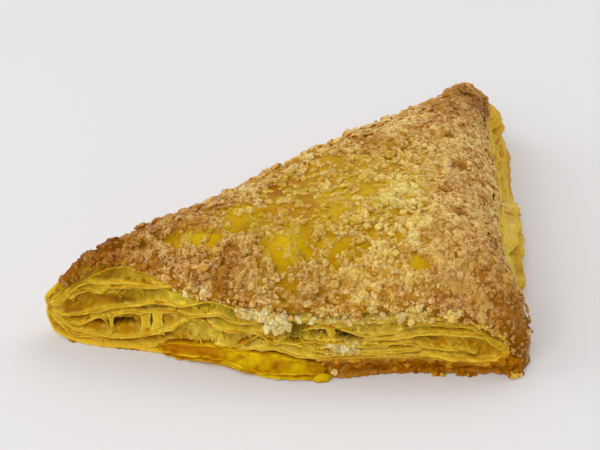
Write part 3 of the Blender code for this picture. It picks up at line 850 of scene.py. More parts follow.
def threadEnds():   # both ends of every thread as distance along the edge, height and stand-in from the lips
    rng = np.random.default_rng(77)
    starts, ends = [], []
    for middle, level, half, tall, count, length in webLook["spans"]:
        at = np.stack([middle + half * rng.uniform(-1, 1, count), level + tall * rng.uniform(-1, 1, count),
                       rng.uniform(-1.9, -0.2, count)], axis=-1)
        lean = rng.normal(0, 0.55, count)
        reach = length * rng.uniform(0.6, 1.3, count)
        way = np.stack([np.sin(lean), np.cos(lean) * 0.75, rng.normal(0, 0.2, count)], axis=-1) * reach[:, None] * 0.5
        starts.append(at - way)
        ends.append(at + way)
    clear = np.array(webLook["clear"])
    return (np.concatenate(starts + [clear[:, :3], clear[:, :3] + [0.3, 0, 0.1]]),
            np.concatenate(ends + [clear[:, 3:], clear[:, 3:] + [0.7, 0.2, 0.1]]))


def makeWebs():   # tubes along bowed paths, thinner in the middle, each closed across its end rings
    starts, ends = threadEnds()
    rng = np.random.default_rng(78)
    count, rings, sides = len(starts), webLook["rings"], webLook["sides"]
    t = np.linspace(0, 1, rings)
    bow = rng.normal(0, 1, (count, 3)) * np.array([0.6, 0.35, 0.35])
    path = starts[:, None] * (1 - t)[None, :, None] + ends[:, None] * t[None, :, None]
    path = path + bow[:, None] * np.sin(math.pi * t)[None, :, None]
    centre, out = wallSpot(path[..., 0], path[..., 1], path[..., 2] - frontLook["recess"])
    direction = unit(np.gradient(centre, axis=1))
    side = unit(np.cross(direction, np.concatenate([out, np.zeros(out.shape[:2] + (1,))], axis=-1)))
    face = np.cross(side, direction)
    angle = (2 * math.pi * np.arange(sides) / sides)[None, None, :, None]
    thick = webLook["radius"] * rng.uniform(0.6, 1.3, (count, 1)) * (0.45 + 1.3 * (2 * t - 1)[None] ** 2)
    flat = rng.uniform(1.0, 2.6, (count, 1))[..., None, None]
    spoke = side[:, :, None] * np.cos(angle) * flat + face[:, :, None] * np.sin(angle)
    points = centre[:, :, None] + spoke * thick[:, :, None, None]
    points[..., 2] = np.maximum(points[..., 2], floorGap)
    first = np.stack([np.zeros(sides - 2, int), np.arange(1, sides - 1), np.arange(2, sides)], axis=-1)
    caps = np.concatenate([first, (first + (rings - 1) * sides)[:, ::-1]])
    offset = (np.arange(count) * rings * sides)[:, None, None]
    faces = [(part[None] + offset).reshape(-1, part.shape[1]) for part in (gridFaces(rings, sides)[:, ::-1], caps)]
    share = (np.abs(2 * t - 1) ** 0.7)[None, :, None] * np.ones((count, 1, sides))
    colour = tinted(points.shape, (222, 202, 96), ((196, 160, 44), share)) * rng.uniform(0.85, 1.15, (count, 1, 1, 1))
    return makePiece("frontWebs", points, faces, layerFinish, colour)


makeWebs()

curtainLook = {
    # sheets of crumb: distance along the edge at the top and the foot, half widths there, heights there, stand-in
    "sheets": [(24.2, 24.9, 1.7, 1.3, 9.9, 4.0, -0.9), (27.9, 28.0, 1.5, 1.6, 11.0, 4.4, -0.3),
               (15.4, 15.2, 0.9, 0.35, 8.2, 3.0, 0.1), (57.6, 56.8, 1.2, 0.9, 8.0, 4.8, -0.6),
               (73.6, 74.2, 1.3, 0.8, 12.6, 8.8, -0.8)],
    "thickness": 0.3, "columns": 9, "rows": 13,
}


def makeCurtains():   # thin upright sheets between two lips, their side edges uneven, each closed on itself
    columns = curtainLook["columns"]
    u = np.concatenate([np.linspace(-1, 1, columns), np.linspace(1, -1, columns)])
    t = np.linspace(0, 1, curtainLook["rows"])[:, None]
    bodies = []
    for k, (topRun, footRun, topHalf, footHalf, topZ, footZ, standIn) in enumerate(curtainLook["sheets"]):
        middle = topRun + (footRun - topRun) * t
        half = (topHalf + (footHalf - topHalf) * t) * (0.8 + 0.5 * (2 * t - 1) ** 2)
        ragged = 1 + 0.2 * lineNoise(t * 6 + 10 * k + 3 * np.sign(u)[None], 741, 1.0)
        run = middle + half * u[None] * ragged
        height = topZ + (footZ - topZ) * t + 0.15 * lineNoise(run, 742 + k, 0.8)
        side = np.where(np.arange(len(u)) < columns, 0.5, -0.5) * curtainLook["thickness"] * (1.2 - np.abs(u) ** 3)
        folds = 0.35 * lineNoise(run + 7 * k, 751, 0.9) - 0.5 * np.sin(math.pi * t)
        grid = wallSpot(run, height, standIn - frontLook["recess"] + folds + side[None])[0]
        colour = tinted(grid.shape, (214, 182, 60), ((236, 220, 150), np.abs(u)[None] ** 2 * 0.8 + 0.1 + 0 * t))
        bodies.append(closedBody(grid, colour))
    return joinBodies("crumbSheets", bodies, layerFinish)


makeCurtains()


# The right cut edge: the same layers, with the lower ones flaring out.

rightLook = {
    "columns": 420, "rows": 76, "lips": 10,
    # hollows: place round the edge, middle height, half length, half height, depth in mm
    "pockets": ((1.2, 12.0, 8, 1.5, 3.4), (1.33, 6.5, 9, 1.3, 3.6), (1.42, 14.5, 8, 1.4, 3.0),
                (1.55, 9.5, 10, 1.6, 4.0), (1.66, 15.5, 7, 1.2, 3.0), (1.72, 6.0, 7, 1.1, 3.2),
                (1.84, 11.5, 6, 1.2, 2.6), (1.5, 4.0, 7, 0.9, 2.6), (1.27, 16, 5, 0.9, 2.4)),
}
rightStart, rightEnd = runAtPlace(1.075), runAtPlace(2.05)


def pastPlace(run, place, soft):   # rises from 0 to 1 over a soft length beyond a place of the edge
    return ease((run - runAtPlace(place)) / soft)


def rightLips():   # wavy lines that share the side's height, pressed together at both ends
    run = np.linspace(rightStart + 1.5, rightEnd - 1, 46)
    height = stationCurve(edgeAt(run)[2], 1)
    middle = 0.46 + 0.1 * lineNoise(run, 340, 40.0)
    press = 0.86 + 0.14 * np.sin(math.pi * (run - rightStart) / (rightEnd - rightStart))
    lips = []
    for k in range(rightLook["lips"]):
        wave = 0.055 * lineNoise(run, 300 + k, 24.0) + 0.03 * lineNoise(run, 320 + k, 7.0)
        share = middle + ((k + 0.6) / rightLook["lips"] + wave - middle) * press
        proud = 0.5 + (1.6 if k in (1, 2) else 0.0) + 0.5 * (k % 3 == 0)
        lips.append((proud, 0.35 + 0.2 * (k % 2), list(zip(run, np.clip(share, 0.02, 0.97) * height))))
    return lips


rightLines = rightLips()
rightPockets = [(runAtPlace(place), *rest) for place, *rest in rightLook["pockets"]]


def rightRelief(run, height):   # lower layers flared out, a smooth swelling near the far corner, lips and hollows
    gap = lineGap(run, height, rightLines)
    pocket, pocketShade = pocketDepth(run, height, rightPockets)
    first, second, _ = cellPattern(spread(run, height, 2.4, 1.5), 352)
    froth = 0.3 * ease((second - first) / 0.35)
    edge = 6.0 + 0.8 * lineNoise(run, 361, 6.0)
    flare = bell((height - edge) / 2.6) + 0.55 * bell((height - edge + 3) / 2.4) + 0.25 * bell((height - 11) / 2.5)
    ragged = 2.5 * softNoise(spread(height, 0 * run, 1.5), 362)
    flare = 4.2 * flare * pastPlace(run, 1.17, 18) * ease((runAtPlace(1.6) - run + ragged) / 4)
    flare = flare + 0.7 * layeredNoise(spread(run, height, 4.0, 1.3), 363, 3)
    smooth = 1.2 * pastPlace(run, 1.68, 10) * bell((height - 15) / 5)
    smooth = smooth + 3.6 * pastPlace(run, 1.81, 8) * bell((height - 12.5) / 6.5)
    ridges = 0.25 * layeredNoise(spread(run, height, 5.0, 0.8), 341, 3)
    return flare + smooth - 1.9 * ease(gap / 1.6) - pocket + ridges - froth, gap, pocketShade


def rightTone(run, height, gap, pocketShade):   # yellow over pale over amber layers, then tan and brown at the far corner
    wander = layeredNoise(spread(run, height, 5.0, 2.2), 381, 2)
    inner = pastPlace(run, 1.2, 8) * ease((runAtPlace(1.6) - run) / 8)
    streak = 2.5 * layeredNoise(spread(run, height, 2.4), 364, 3)
    beyond = pastPlace(run, 1.55, 8)
    return tinted(run.shape + (3,), (208, 172, 62), ((190, 140, 28), 0.4 + 0.7 * wander),
                  ((246, 222, 34), 0.9 * ease((height - 9.5 + 2 * streak) / 2) * inner),
                  ((240, 222, 220), 0.9 * bell((height - 8.6 + 2 * streak) / 2.6) * inner),
                  ((192, 120, 22), 0.9 * ease((6.4 - height + 2 * streak) / 1.6) * inner),
                  ((226, 192, 150), 0.75 * beyond), ((196, 124, 40), beyond * ease((streak - 0.1) / 0.5) * 0.8),
                  ((204, 138, 60), 0.75 * pastPlace(run, 1.74, 10) * (0.8 + 0.5 * streak)),
                  # lips paled with painted highlight; the deep hollows darkened with painted shade
                  ((226, 200, 96), 0.7 * bell(gap / 0.55)), ((120, 76, 10), 0.6 * pocketShade),
                  ((158, 98, 22), 0.8 * ease((2.2 + 0.8 * wander - height) / 1.2)))


def rightBack(runs):   # how deep the body reaches behind the right side
    return 1.4 + 6.7 * ease((runs - rightStart) / 14) * ease((rightEnd - runs) / 22)


sideBody("rightLayers", (rightStart, rightEnd), rightLook["columns"], rightLook["rows"], rightRelief, rightTone,
         rightBack)
lipRibbons("rightLips", rightLines, {"step": 0.45, "rag": 0.4, "curl": 0.4, "brown": 0.0, "root": 2.2,
                                     "smoothings": 6})


# The bottom: a thin baked skin under everything, and the doubled amber flap at the front foot.

baseLook = {
    "columns": 560, "thickness": 1.3, "drawnIn": (0.8, 0.45, 0.15),
    # its section, from inside over the edge and back below: how far out, height in mm
    "section": [(-5.0, 1.3), (-1.4, 1.2), (-0.3, 1.0), (0.25, 0.72), (0.4, 0.4), (0.2, 0.12), (-0.6, 0.0),
                (-3.0, 0.0)],
}


def makeBase():   # the foot's outline carried through a flat section, then drawn in to a point above and below
    runs = np.linspace(0, outlineLength, baseLook["columns"], endpoint=False)
    plan, out, place = edgeAt(runs)
    reach = wallShape(place, np.zeros(len(runs)))[0]
    beside = ease((runs - runAtPlace(1.15)) / 8) * ease((runAtPlace(2.0) - runs) / 8)
    brown = ease((runs - 70) / 4) * ease((outlineLength - 60 - runs) / 30) * (1 - beside)
    wave = 0.35 * lineNoise(runs, 401, 5.0) + 0.25 * lineNoise(runs, 402, 1.6)
    wave = wave + 0.5 * brown * lineNoise(runs, 403, 0.9)
    wave = wave - (1 - ease((np.minimum(runs, outlineLength - runs) - 4) / 22))
    lift = footLift(place) * 0.94
    rings = [np.concatenate([plan + out * (reach + inOut + wave * (inOut > -1.5))[:, None], (lift + z)[:, None]],
                            axis=-1)
             for inOut, z in baseLook["section"]]
    centre, thickness = sheetPlan["domeCentre"], baseLook["thickness"]

    def drawnIn(ring, level):   # smaller copies of a ring at one level
        return [np.concatenate([centre + (ring[:, :2] - centre) * k, np.full((len(runs), 1), level)], axis=-1)
                for k in baseLook["drawnIn"]]
    grid = np.array(drawnIn(rings[0], thickness)[::-1] + rings + drawnIn(rings[-1], 0.0))
    row = np.ones((len(grid), 1))
    front = np.maximum(ease((34 - runs) / 3), ease((runs - outlineLength + 20) / 10))
    colour = tinted(grid.shape, (206, 160, 52), ((150, 92, 20), brown[None] * row),
                    ((190, 128, 40), 0.4 + 0.6 * layeredNoise(grid / 3.0, 405, 2)),
                    ((224, 194, 88), 0.85 * front[None] * row), ((214, 162, 90), 0.7 * beside[None] * row))
    body = closedBody(grid, colour, ends=[[*centre, thickness], [*centre, 0.0]])
    return joinBodies("baseSkin", [body], layerFinish)


makeBase()

flapLook = {
    # height of the top, the lip and the bottom, and how far the lip stands out, at distances along the edge, in mm
    "top": [(28, 2.0), (31.6, 2.9), (37.2, 4.0), (42.7, 4.9), (48.1, 5.1), (53.4, 4.9), (58.7, 5.0), (62.5, 4.8),
            (66.4, 4.3), (73, 3.0)],
    "lip": [(28, 1.6), (31.6, 1.3), (37.2, 1.9), (41.3, 2.6), (44.1, 2.6), (48.1, 2.6), (50.8, 2.2), (53.5, 1.7),
            (56.6, 1.5), (61.3, 1.9), (66.4, 2.2), (73, 1.6)],
    "bottom": [(28, 1.2), (31.1, 0.3), (33.8, 0.05), (37.2, 0.2), (41.3, 1.0), (45.4, 1.5), (48.7, 1.5), (50.8, 0.9),
               (53.5, 0.4), (56.6, 0.1), (73, 0.1)],
    "out": [(28, 0.2), (31, 1.6), (36, 2.0), (44, 1.6), (50, 2.2), (58, 2.8), (66, 2.6), (71, 1.4), (73, 0.3)],
    "span": (28.2, 72.8), "columns": 260, "smoothings": 14, "sunk": 0.4,
    # its section, from the top over the lip to the foot: fixed reach, share of the full reach, height from -1 (foot)
    # to 1 (top), paleness
    "section": [(-2.2, 0.0, 1.0, 0), (-0.4, 0.0, 1.0, 0.5), (0.1, 0.0, 0.92, 0.9), (-0.3, 0.0, 0.7, 0.1),
                (-0.2, 0.1, 0.45, 0.0), (0.0, 0.4, 0.16, 0.1), (0.0, 0.75, 0.04, 0.4), (0.0, 1.0, 0.1, 0.9),
                (0.1, 1.06, -0.02, 1.0), (0.0, 0.98, -0.16, 0.8), (-0.3, 0.75, -0.22, 0.1), (-0.5, 0.6, -0.45, 0.0),
                (-0.1, 0.8, -0.62, 0.4), (0.05, 0.92, -0.74, 0.7), (0.0, 0.9, -0.88, 0.4), (-0.3, 0.6, -1.0, 0.1),
                (-2.2, 0.0, -1.0, 0)],
}


def makeFlap():   # a doubled lip carried along the front foot, its height and reach from the look's lines
    run = np.linspace(*flapLook["span"], flapLook["columns"])
    lines = [np.interp(run, *np.array(flapLook[key]).T) for key in ("top", "lip", "bottom", "out")]
    topZ, lipZ, lowZ, out = smoothed(np.array(lines).T, flapLook["smoothings"]).T
    rag = 0.5 * lineNoise(run, 411, 2.6) + 0.3 * lineNoise(run, 412, 0.9)
    under = 0.5 * lineNoise(run, 414, 1.8)
    topZ = topZ + 0.25 * lineNoise(run, 413, 2.5)
    lipZ = lipZ + 0.22 * lineNoise(run, 416, 1.6)
    plan, away, place = edgeAt(run)
    rings = []
    for fixed, part, mix, _ in flapLook["section"]:
        z = lipZ + (topZ - lipZ) * max(mix, 0) + (lipZ - lowZ) * min(mix, 0)
        ragged = rag * (part > 0.7) * (mix > -0.3) + under * (mix <= -0.3) * (mix > -1.0)
        reach = wallShape(place, z / stationCurve(place, 1))[0] + fixed + out * part + ragged - flapLook["sunk"]
        rings.append(np.concatenate([plan + away * reach[:, None], np.maximum(z, looseGap)[:, None]], axis=-1))
    grid = np.array(rings)
    row = np.ones((len(grid), 1))
    pale = np.array(flapLook["section"])[:, 3:] * np.ones(len(run))
    streaks = layeredNoise(spread(run[None] + 0 * grid[..., 2], grid[..., 2], 3.0, 0.35), 415, 2)
    colour = tinted(grid.shape, (184, 124, 20), ((220, 190, 40), ease((run - 42) / 8)[None] * row),
                    ((236, 200, 84), pale * 0.8), ((166, 100, 4), 0.35 + 1.1 * streaks),
                    ((164, 96, 8), ease((run - 64) / 8)[None] * row * 0.7))
    return joinBodies("amberFlap", [closedBody(grid, colour, across=True, outward=False)], glazeFinish)


makeFlap()


# Sugar: coarse nibs, middling grains and fines over the crust, each size one piece.

sugarLook = {
    # bare places of the crust: x, y, half size along x and y in mm, how bare
    "bare": [(12, 9, 8, 3, 0.75), (4, 7, 4, 3, 0.7), (20, 9, 5, 2, 0.5), (60, 10, 8, 7, 0.97),
             (36, 11.5, 9, 2.6, 0.9), (48, 16, 8, 4, 0.9), (30, 10, 5, 2, 0.7), (72, 9, 6, 5, 0.7),
             (70, 24, 9, 7, 0.84), (76, 36, 9, 8, 0.82), (79, 47, 10, 9, 0.7), (94, 7, 2.8, 2.2, 0.95),
             (60, 28, 12, 6, 0.86), (63, 20, 8, 5, 0.6), (86, 15, 6, 4, 0.5), (104, 53, 2.4, 2.4, 0.9),
             (100, 70, 2.2, 2.2, 0.9), (104, 28, 2.4, 2.4, 0.9), (61, 1, 3, 3, 0.7), (13, 16, 8, 4.5, 0.8),
             (48, 19, 8, 5, 0.88), (56, 29, 7, 6, 0.74), (62, 38, 8, 6, 0.7), (68, 47, 8, 6, 0.6)],
    # each size: rings of the lump as radius and height, sides, tries, least gap, size from and to, how far out it sits
    # as a share of its size, roughness, seed, and the power that thins it where the cover is thin
    "sizes": {
        "coarseSugar": (((0.45, 0.84), (0.82, 0.54), (1.02, 0.1), (1.16, -0.4), (0.9, -0.9)), 8, 9500, 1.6,
                        (1.5, 2.7), 0.02, 0.06, 520, 1.2),
        "middleSugar": (((0.6, 0.72), (1.02, 0.1), (1.14, -0.6)), 6, 9500, 1.05, (1.0, 1.7), 0.06, 0.07, 530, 1.3),
        "fineSugar": (((0.8, 0.5), (1.1, -0.5)), 5, 3500, 0.9, (0.5, 0.9), 0.12, 0.1, 540, 0.9)},
    "clumpReach": 0.9,   # sizes above this gather in clumps along the long fold
}


def bareness(x, y):   # how bare the crust is, from the list of bare places
    bare = np.zeros_like(x)
    for bx, by, sx, sy, share in sugarLook["bare"]:
        far = np.hypot((x - bx) / sx, (y - by) / sy)
        bare = np.maximum(bare, share * (1 - ease((far - 0.6) / 0.55)))
    return bare


def clusters(x, y):   # where the sugar has gathered (up to 1) and where it is thin (down to -1)
    return layeredNoise(spread(x, y, 3.8, 3.8), 513, 2)


def sugarCover(x, y, down, place):   # share of the crust that sugar covers, from 0 to 1
    cover = 0.78 + 0.2 * ease((x - 84) / 14) - 0.05 * bell((x - 62) / 14)
    cover = cover + 0.2 * ease((y - 50) / 20)
    gaps = layeredNoise(spread(x, y, 5.5, 5.5), 501, 2)
    cover = cover + 0.45 * gaps * (1 - 0.55 * ease((x - 88) / 10))
    edge = bell((insetOf(np.stack([x, y], axis=-1).reshape(-1, 2)).reshape(x.shape) - 3) / 4)
    cover = (cover + 0.3 * edge) * (1 - bareness(x, y))
    corner = ease((place - 0.96) / 0.03) * ease((1.16 - place) / 0.03)
    cover = cover * (1 - 0.75 * corner * ease((down - 0.3) / 0.3)) * ease((np.hypot(x + 10, y - 1) - 9) / 6)
    fold = ease((place - 1.99) / 0.03)
    trail = 0.3 + 0.5 * softNoise(spread(place * 26, 0 * x), 503) + 0.3 * gaps
    return np.clip(cover, 0, 1) * (1 - fold * ease((down - trail) / 0.4)) * (1 - ease((down - 0.96) / 0.04))


def crustSites(count, seed):   # random places over the crust, even by area, with outward directions and how far down
    rng = np.random.default_rng(seed)
    a, b = crustOuter[:-1], crustOuter[1:]
    aNext, bNext = np.roll(a, -1, axis=1), np.roll(b, -1, axis=1)
    area = (np.linalg.norm(np.cross(aNext - a, b - a), axis=-1)
            + np.linalg.norm(np.cross(aNext - bNext, b - bNext), axis=-1))
    area[crustLook["domeRings"] - 2:] *= 2.5
    marks = np.cumsum(area.ravel())
    cell = np.searchsorted(marks, rng.random(count) * marks[-1])
    row, column = cell // area.shape[1], cell % area.shape[1]
    u, w = rng.random((2, count, 1))
    n = (column + 1) % area.shape[1]
    spot, normal = ((grid[row, column] * (1 - u) + grid[row, n] * u) * (1 - w)
                    + (grid[row + 1, column] * (1 - u) + grid[row + 1, n] * u) * w
                    for grid in (crustOuter, crustNormal))
    normal = unit(normal)
    down = np.clip((row + w[:, 0] - crustLook["domeRings"] + 1) / crustLook["sideRings"], 0, 1)
    return spot, normal, down, crustPlace[column], rng


def spacedOut(spot, gap, batch=400):   # keeps a place when no earlier place is nearer than the gap
    keep = np.ones(len(spot), bool)
    for start in range(0, len(spot), batch):
        part = spot[start:start + batch]
        far = np.linalg.norm(part[:, None] - spot[None, :start + len(part)], axis=-1)
        earlier = np.arange(start + len(part))[None] < (start + np.arange(len(part)))[:, None]
        keep[start:start + batch] = ~np.any((far < gap) & earlier, axis=1)
    return keep


def lumpShape(profile, sides):   # points and faces of one round lump: rings of a profile, closed at its poles
    angle = 2 * math.pi * (np.arange(sides)[None] + 0.5 * (np.arange(len(profile))[:, None] % 2)) / sides
    radius, level = np.array(profile).T[..., None]
    rings = np.stack([radius * np.cos(angle), radius * np.sin(angle), level + 0 * angle], axis=-1)
    points, faces, _ = closedBody(rings, rings, ends=[[0, 0, level[0, 0] * 0.8], [0, 0, level[-1, 0] - 0.1]])
    return points, faces, sides


def makeLumps(name, shape, spot, normal, size, sink, rough, rng, material, toneOf):
    # one lump at every spot, squashed, turned and roughened on its own, standing along the outward direction
    points, parts, sides = shape
    count = len(spot)
    turn = rng.uniform(0, 2 * math.pi, count)
    scale = size[:, None] * rng.uniform((0.8, 0.65, 0.36), (1.3, 1.1, 0.76), (count, 3)) * 0.5
    corner = np.clip(1 + 0.19 * rng.normal(0, 1, (count, 1, sides)), 0.55,
                     1.5) * np.ones((1, (len(points) - 2) // sides, 1))
    corner = np.concatenate([corner.reshape(count, -1), np.ones((count, 2))], axis=1)[..., None]
    body = points[None] * np.concatenate([corner, corner, np.ones_like(corner)], axis=-1)
    body = body * (1 + rough * rng.normal(0, 1, (count, len(points), 1)))
    body = (body + rough * 0.5 * rng.normal(0, 1, (count, len(points), 3))) * scale[:, None]
    c, s = np.cos(turn)[:, None], np.sin(turn)[:, None]
    flat = np.stack([body[..., 0] * c - body[..., 1] * s, body[..., 0] * s + body[..., 1] * c, body[..., 2]], axis=-1)
    up = unit(normal + rng.normal(0, 0.22, (count, 3)))
    side = unit(np.cross(up, [0.31, 0.95, 0.05]))
    fore = np.cross(up, side)
    centre = spot + normal * (size * sink)[:, None]
    placed = centre[:, None]
    for k, way in enumerate((side, fore, up)):
        placed = placed + flat[..., k:k + 1] * way[:, None]
    placed[..., 2] = np.maximum(placed[..., 2], looseGap)
    offset = (np.arange(count) * len(points))[:, None, None]
    faces = [(part[None] + offset).reshape(-1, part.shape[1]) for part in (parts[0], np.concatenate(parts[1:]))]
    # rim: paler towards each lump's top and round its widest ring, painted highlight on the tops and edges
    rise = (points[:, 2] + 0.4) / 0.9
    ring = bell((np.hypot(points[:, 0], points[:, 1]) - 0.88) / 0.26) * ease((points[:, 2] + 0.2) / 0.4)
    rim = (0.12 + 0.4 * ease(rise) + 0.75 * ring)[None] * (0.7 + 0.5 * rng.random((count, 1)))
    rim = rim * rng.uniform(0.8, 1.15, (count, len(points)))
    colour = toneOf(placed, rng.random(count)[:, None] * np.ones(len(points)), rim)
    return makePiece(name, placed, faces, material, colour, smooth=False,
                     raised=np.tile(0.3 + 0.8 * ease(rise), count))


def sugarTone(p, brightness, rim):   # clear amber in the body, cream in clusters and, as painted highlight, on rims; in zones over the crust
    x, y = p[..., 0], p[..., 1]
    zone = layeredNoise(p / 15.0, 511, 2)
    clear, near = bareness(x, y), brownness(x, y)
    yellow = bell(np.hypot((x - 70) / 20, (y - 28) / 28))
    palest = bell(np.hypot((x - 88) / 9, (y - 31) / 18))
    right = ease((x - 94) / 10)
    amber = tinted(p.shape, (200, 140, 0), ((172, 100, 0), 0.5 + 1.1 * zone),
                   ((170, 96, 0), ease((66 - x) / 20) * 0.6), ((206, 172, 12), np.maximum(yellow * 0.8, clear)),
                   ((212, 176, 40), palest * 0.8), ((192, 122, 6), right * 0.8), ((140, 76, 4), near))
    cream = tinted(p.shape, (240, 218, 176), ((226, 188, 122), 0.5 - 1.1 * zone),
                   ((224, 184, 132), ease((58 - x) / 20) * 0.8), ((232, 214, 150), yellow * 0.8),
                   ((242, 224, 172), palest * 0.9), ((232, 200, 156), right * 0.9),
                   ((218, 172, 104), 0.6 * ease((y - 70) / 25)), ((178, 122, 34), near))
    share = -0.6 + 1.3 * rim + 0.9 * clusters(x, y) + 0.55 * zone + 0.9 * (brightness - 0.5)
    share = share + 0.34 * palest - 0.16 * yellow + 0.34 * right - 0.7 * clear
    share = np.minimum(share, 0.6 + 0.45 * palest + 0.4 * brightness) * (1 - 0.4 * near)
    low = 0.08 * bell((y - 3) / 9) * ease((x - 66) / 10)
    return blendTone(amber, cream, share) * (0.95 + low + 0.1 * zone + 0.1 * (brightness - 0.5))[..., None]


def foldClumps(spot):   # 1 in the clumps of coarser flakes that stand up along the long fold, 0 elsewhere
    along = sheetPlan["corners"][2] - sheetPlan["corners"][0]
    inwards = np.array([along[1], -along[0]]) / math.hypot(*along)
    ridge = bell(((spot[:, :2] - sheetPlan["corners"][0]) @ inwards - 8) / 7) * ease((spot[:, 0] - 4) / 16)
    return ridge * ease((softNoise(spot / 3.4, 541) + 0.15) / 0.3)


def scatterSugar(name, profile, sides, tries, gap, sizes, sink, rough, seed, power):
    # lumps of one size at spots that the cover allows, kept apart, smaller towards both ends and the square corner
    spot, normal, down, place, rng = crustSites(tries, seed)
    chosen = rng.random(tries) < sugarCover(spot[:, 0], spot[:, 1], down, place) ** power
    spot, normal, down = spot[chosen], normal[chosen], down[chosen]
    keep = spacedOut(spot, gap)
    spot, normal, down = spot[keep], normal[keep], down[keep]
    x, y = spot[:, 0], spot[:, 1]
    size = rng.uniform(*sizes, len(spot)) * (0.62 + 0.38 * ease((x + 2) / 22))
    size = size * (1 - 0.35 * bell(np.hypot(x - 121, y) / 9))
    ridge = foldClumps(spot) * (sizes[0] > sugarLook["clumpReach"])
    size = size * (1 + 0.4 * ridge)
    level = np.maximum(glazeRelief(x, y)[0], 0) * (1 - ease(down / 0.08))
    melted = 0.02 * ease((x - 84) / 12) + 0.04 * ease((y - 60) / 20)
    spot = spot + normal * (0.8 * level - melted * size + 0.65 * ridge)[:, None]
    return makeLumps(name, lumpShape(profile, sides), spot, normal, size, sink, rough, rng, sugarFinish, sugarTone)


mapLook = {"corner": (-12.0, -12.0), "size": (152, 156), "reach": 0.5, "unknown": 15.0, "spreads": 60}


def crustHeightMap():   # the crust's height on an even plan grid: near points, carried along their slope and averaged
    spots, tilt = (grid[:crustLook["domeRings"] + 2].reshape(-1, 3) for grid in (crustOuter, crustNormal))
    slope = -tilt[:, :2] / np.clip(tilt[:, 2:], 0.3, None)
    corner, size = np.array(mapLook["corner"]), mapLook["size"]
    base = np.floor(spots[:, :2] - corner).astype(int)
    total, weight = np.zeros((2, size[0] * size[1]))
    for shift in np.ndindex(4, 4):
        node = base + np.array(shift) - 1
        gap = node + corner - spots[:, :2]
        share = np.exp(-np.sum(gap ** 2, axis=1) / mapLook["reach"])
        flat = np.clip(node[:, 0], 0, size[0] - 1) * size[1] + np.clip(node[:, 1], 0, size[1] - 1)
        total += np.bincount(flat, share * (spots[:, 2] + np.sum(gap * slope, axis=1)), len(total))
        weight += np.bincount(flat, share, len(weight))
    known = (weight > 0.02).reshape(size)
    height = np.where(known, (total / np.maximum(weight, 1e-9)).reshape(size), mapLook["unknown"])
    for _ in range(mapLook["spreads"]):   # spreads the edge outwards, so that nothing dips at the rim
        near = sum(np.roll(height, k, axis=a) for k in (-1, 1) for a in (0, 1)) / 4
        height = np.where(known, height, near)
    return height, corner


crustMap, crustMapCorner = crustHeightMap()


def crustHeightAt(x, y):   # height between the map's four nearest nodes
    u, w = x - crustMapCorner[0], y - crustMapCorner[1]
    i, j = (np.clip(at.astype(int), 0, last - 2) for at, last in zip((u, w), crustMap.shape))
    u, w = u - i, w - j
    low = crustMap[i, j] * (1 - u) + crustMap[i + 1, j] * u
    high = crustMap[i, j + 1] * (1 - u) + crustMap[i + 1, j + 1] * u
    return low * (1 - w) + high * w


def rimGap(x, y):   # distance inwards from the crust's rim, measured along the spoke from the dome's middle
    rim = crustOuter[crustLook["domeRings"] - 1, :, :2] - sheetPlan["domeCentre"]
    angle = np.arctan2(rim[:, 1], rim[:, 0])
    order = np.argsort(angle)
    spoke = np.stack([x, y], axis=-1) - sheetPlan["domeCentre"]
    reach = np.interp(np.arctan2(spoke[..., 1], spoke[..., 0]), angle[order], np.hypot(*rim[order].T),
                      period=2 * math.pi)
    return reach - np.hypot(spoke[..., 0], spoke[..., 1])


glazeLook = {"from": (-8, -8), "to": (127, 139), "step": 0.44, "cell": 2.1, "crystal": 1.2, "height": 0.85,
             "small": 0.3, "thickness": 1.0, "lowest": -0.35, "deepTone": 0.8}


def glazeRelief(x, y):   # melted sugar: round lumps run together, small crystals on them, sunk out of sight where bare
    warp = drift(spread(x, y) / 1.9, 601)
    big, small = ((spread(x, y) + much * warp) / glazeLook[key] for much, key in ((0.6, "cell"), (0.4, "crystal")))
    first, second, value = cellPattern(big, 603)
    fineFirst, fineSecond, fineValue = cellPattern(small, 607)
    bare = bareness(x, y)
    cover = np.maximum(sugarCover(x, y, 0 * x, 0 * x), 0.62 * bare)
    there = ease((cover * 1.06 - cellPattern(big, 603, 611)[2]) / 0.06 + 0.5)
    dome, fineDome = (np.sqrt(np.clip(1 - (far / 0.85) ** 2, 0, 1)) for far in (first, fineFirst))
    height = glazeLook["height"] * dome * (0.5 + value) + glazeLook["small"] * fineDome * (0.4 + fineValue)
    height = (height + 0.45 * clusters(x, y)) * (1 - 0.6 * bare) - 0.12 - 0.3 * ease((x - 84) / 12)
    return height * there - 0.75 * (1 - there), second - first, fineSecond - fineFirst, there, value


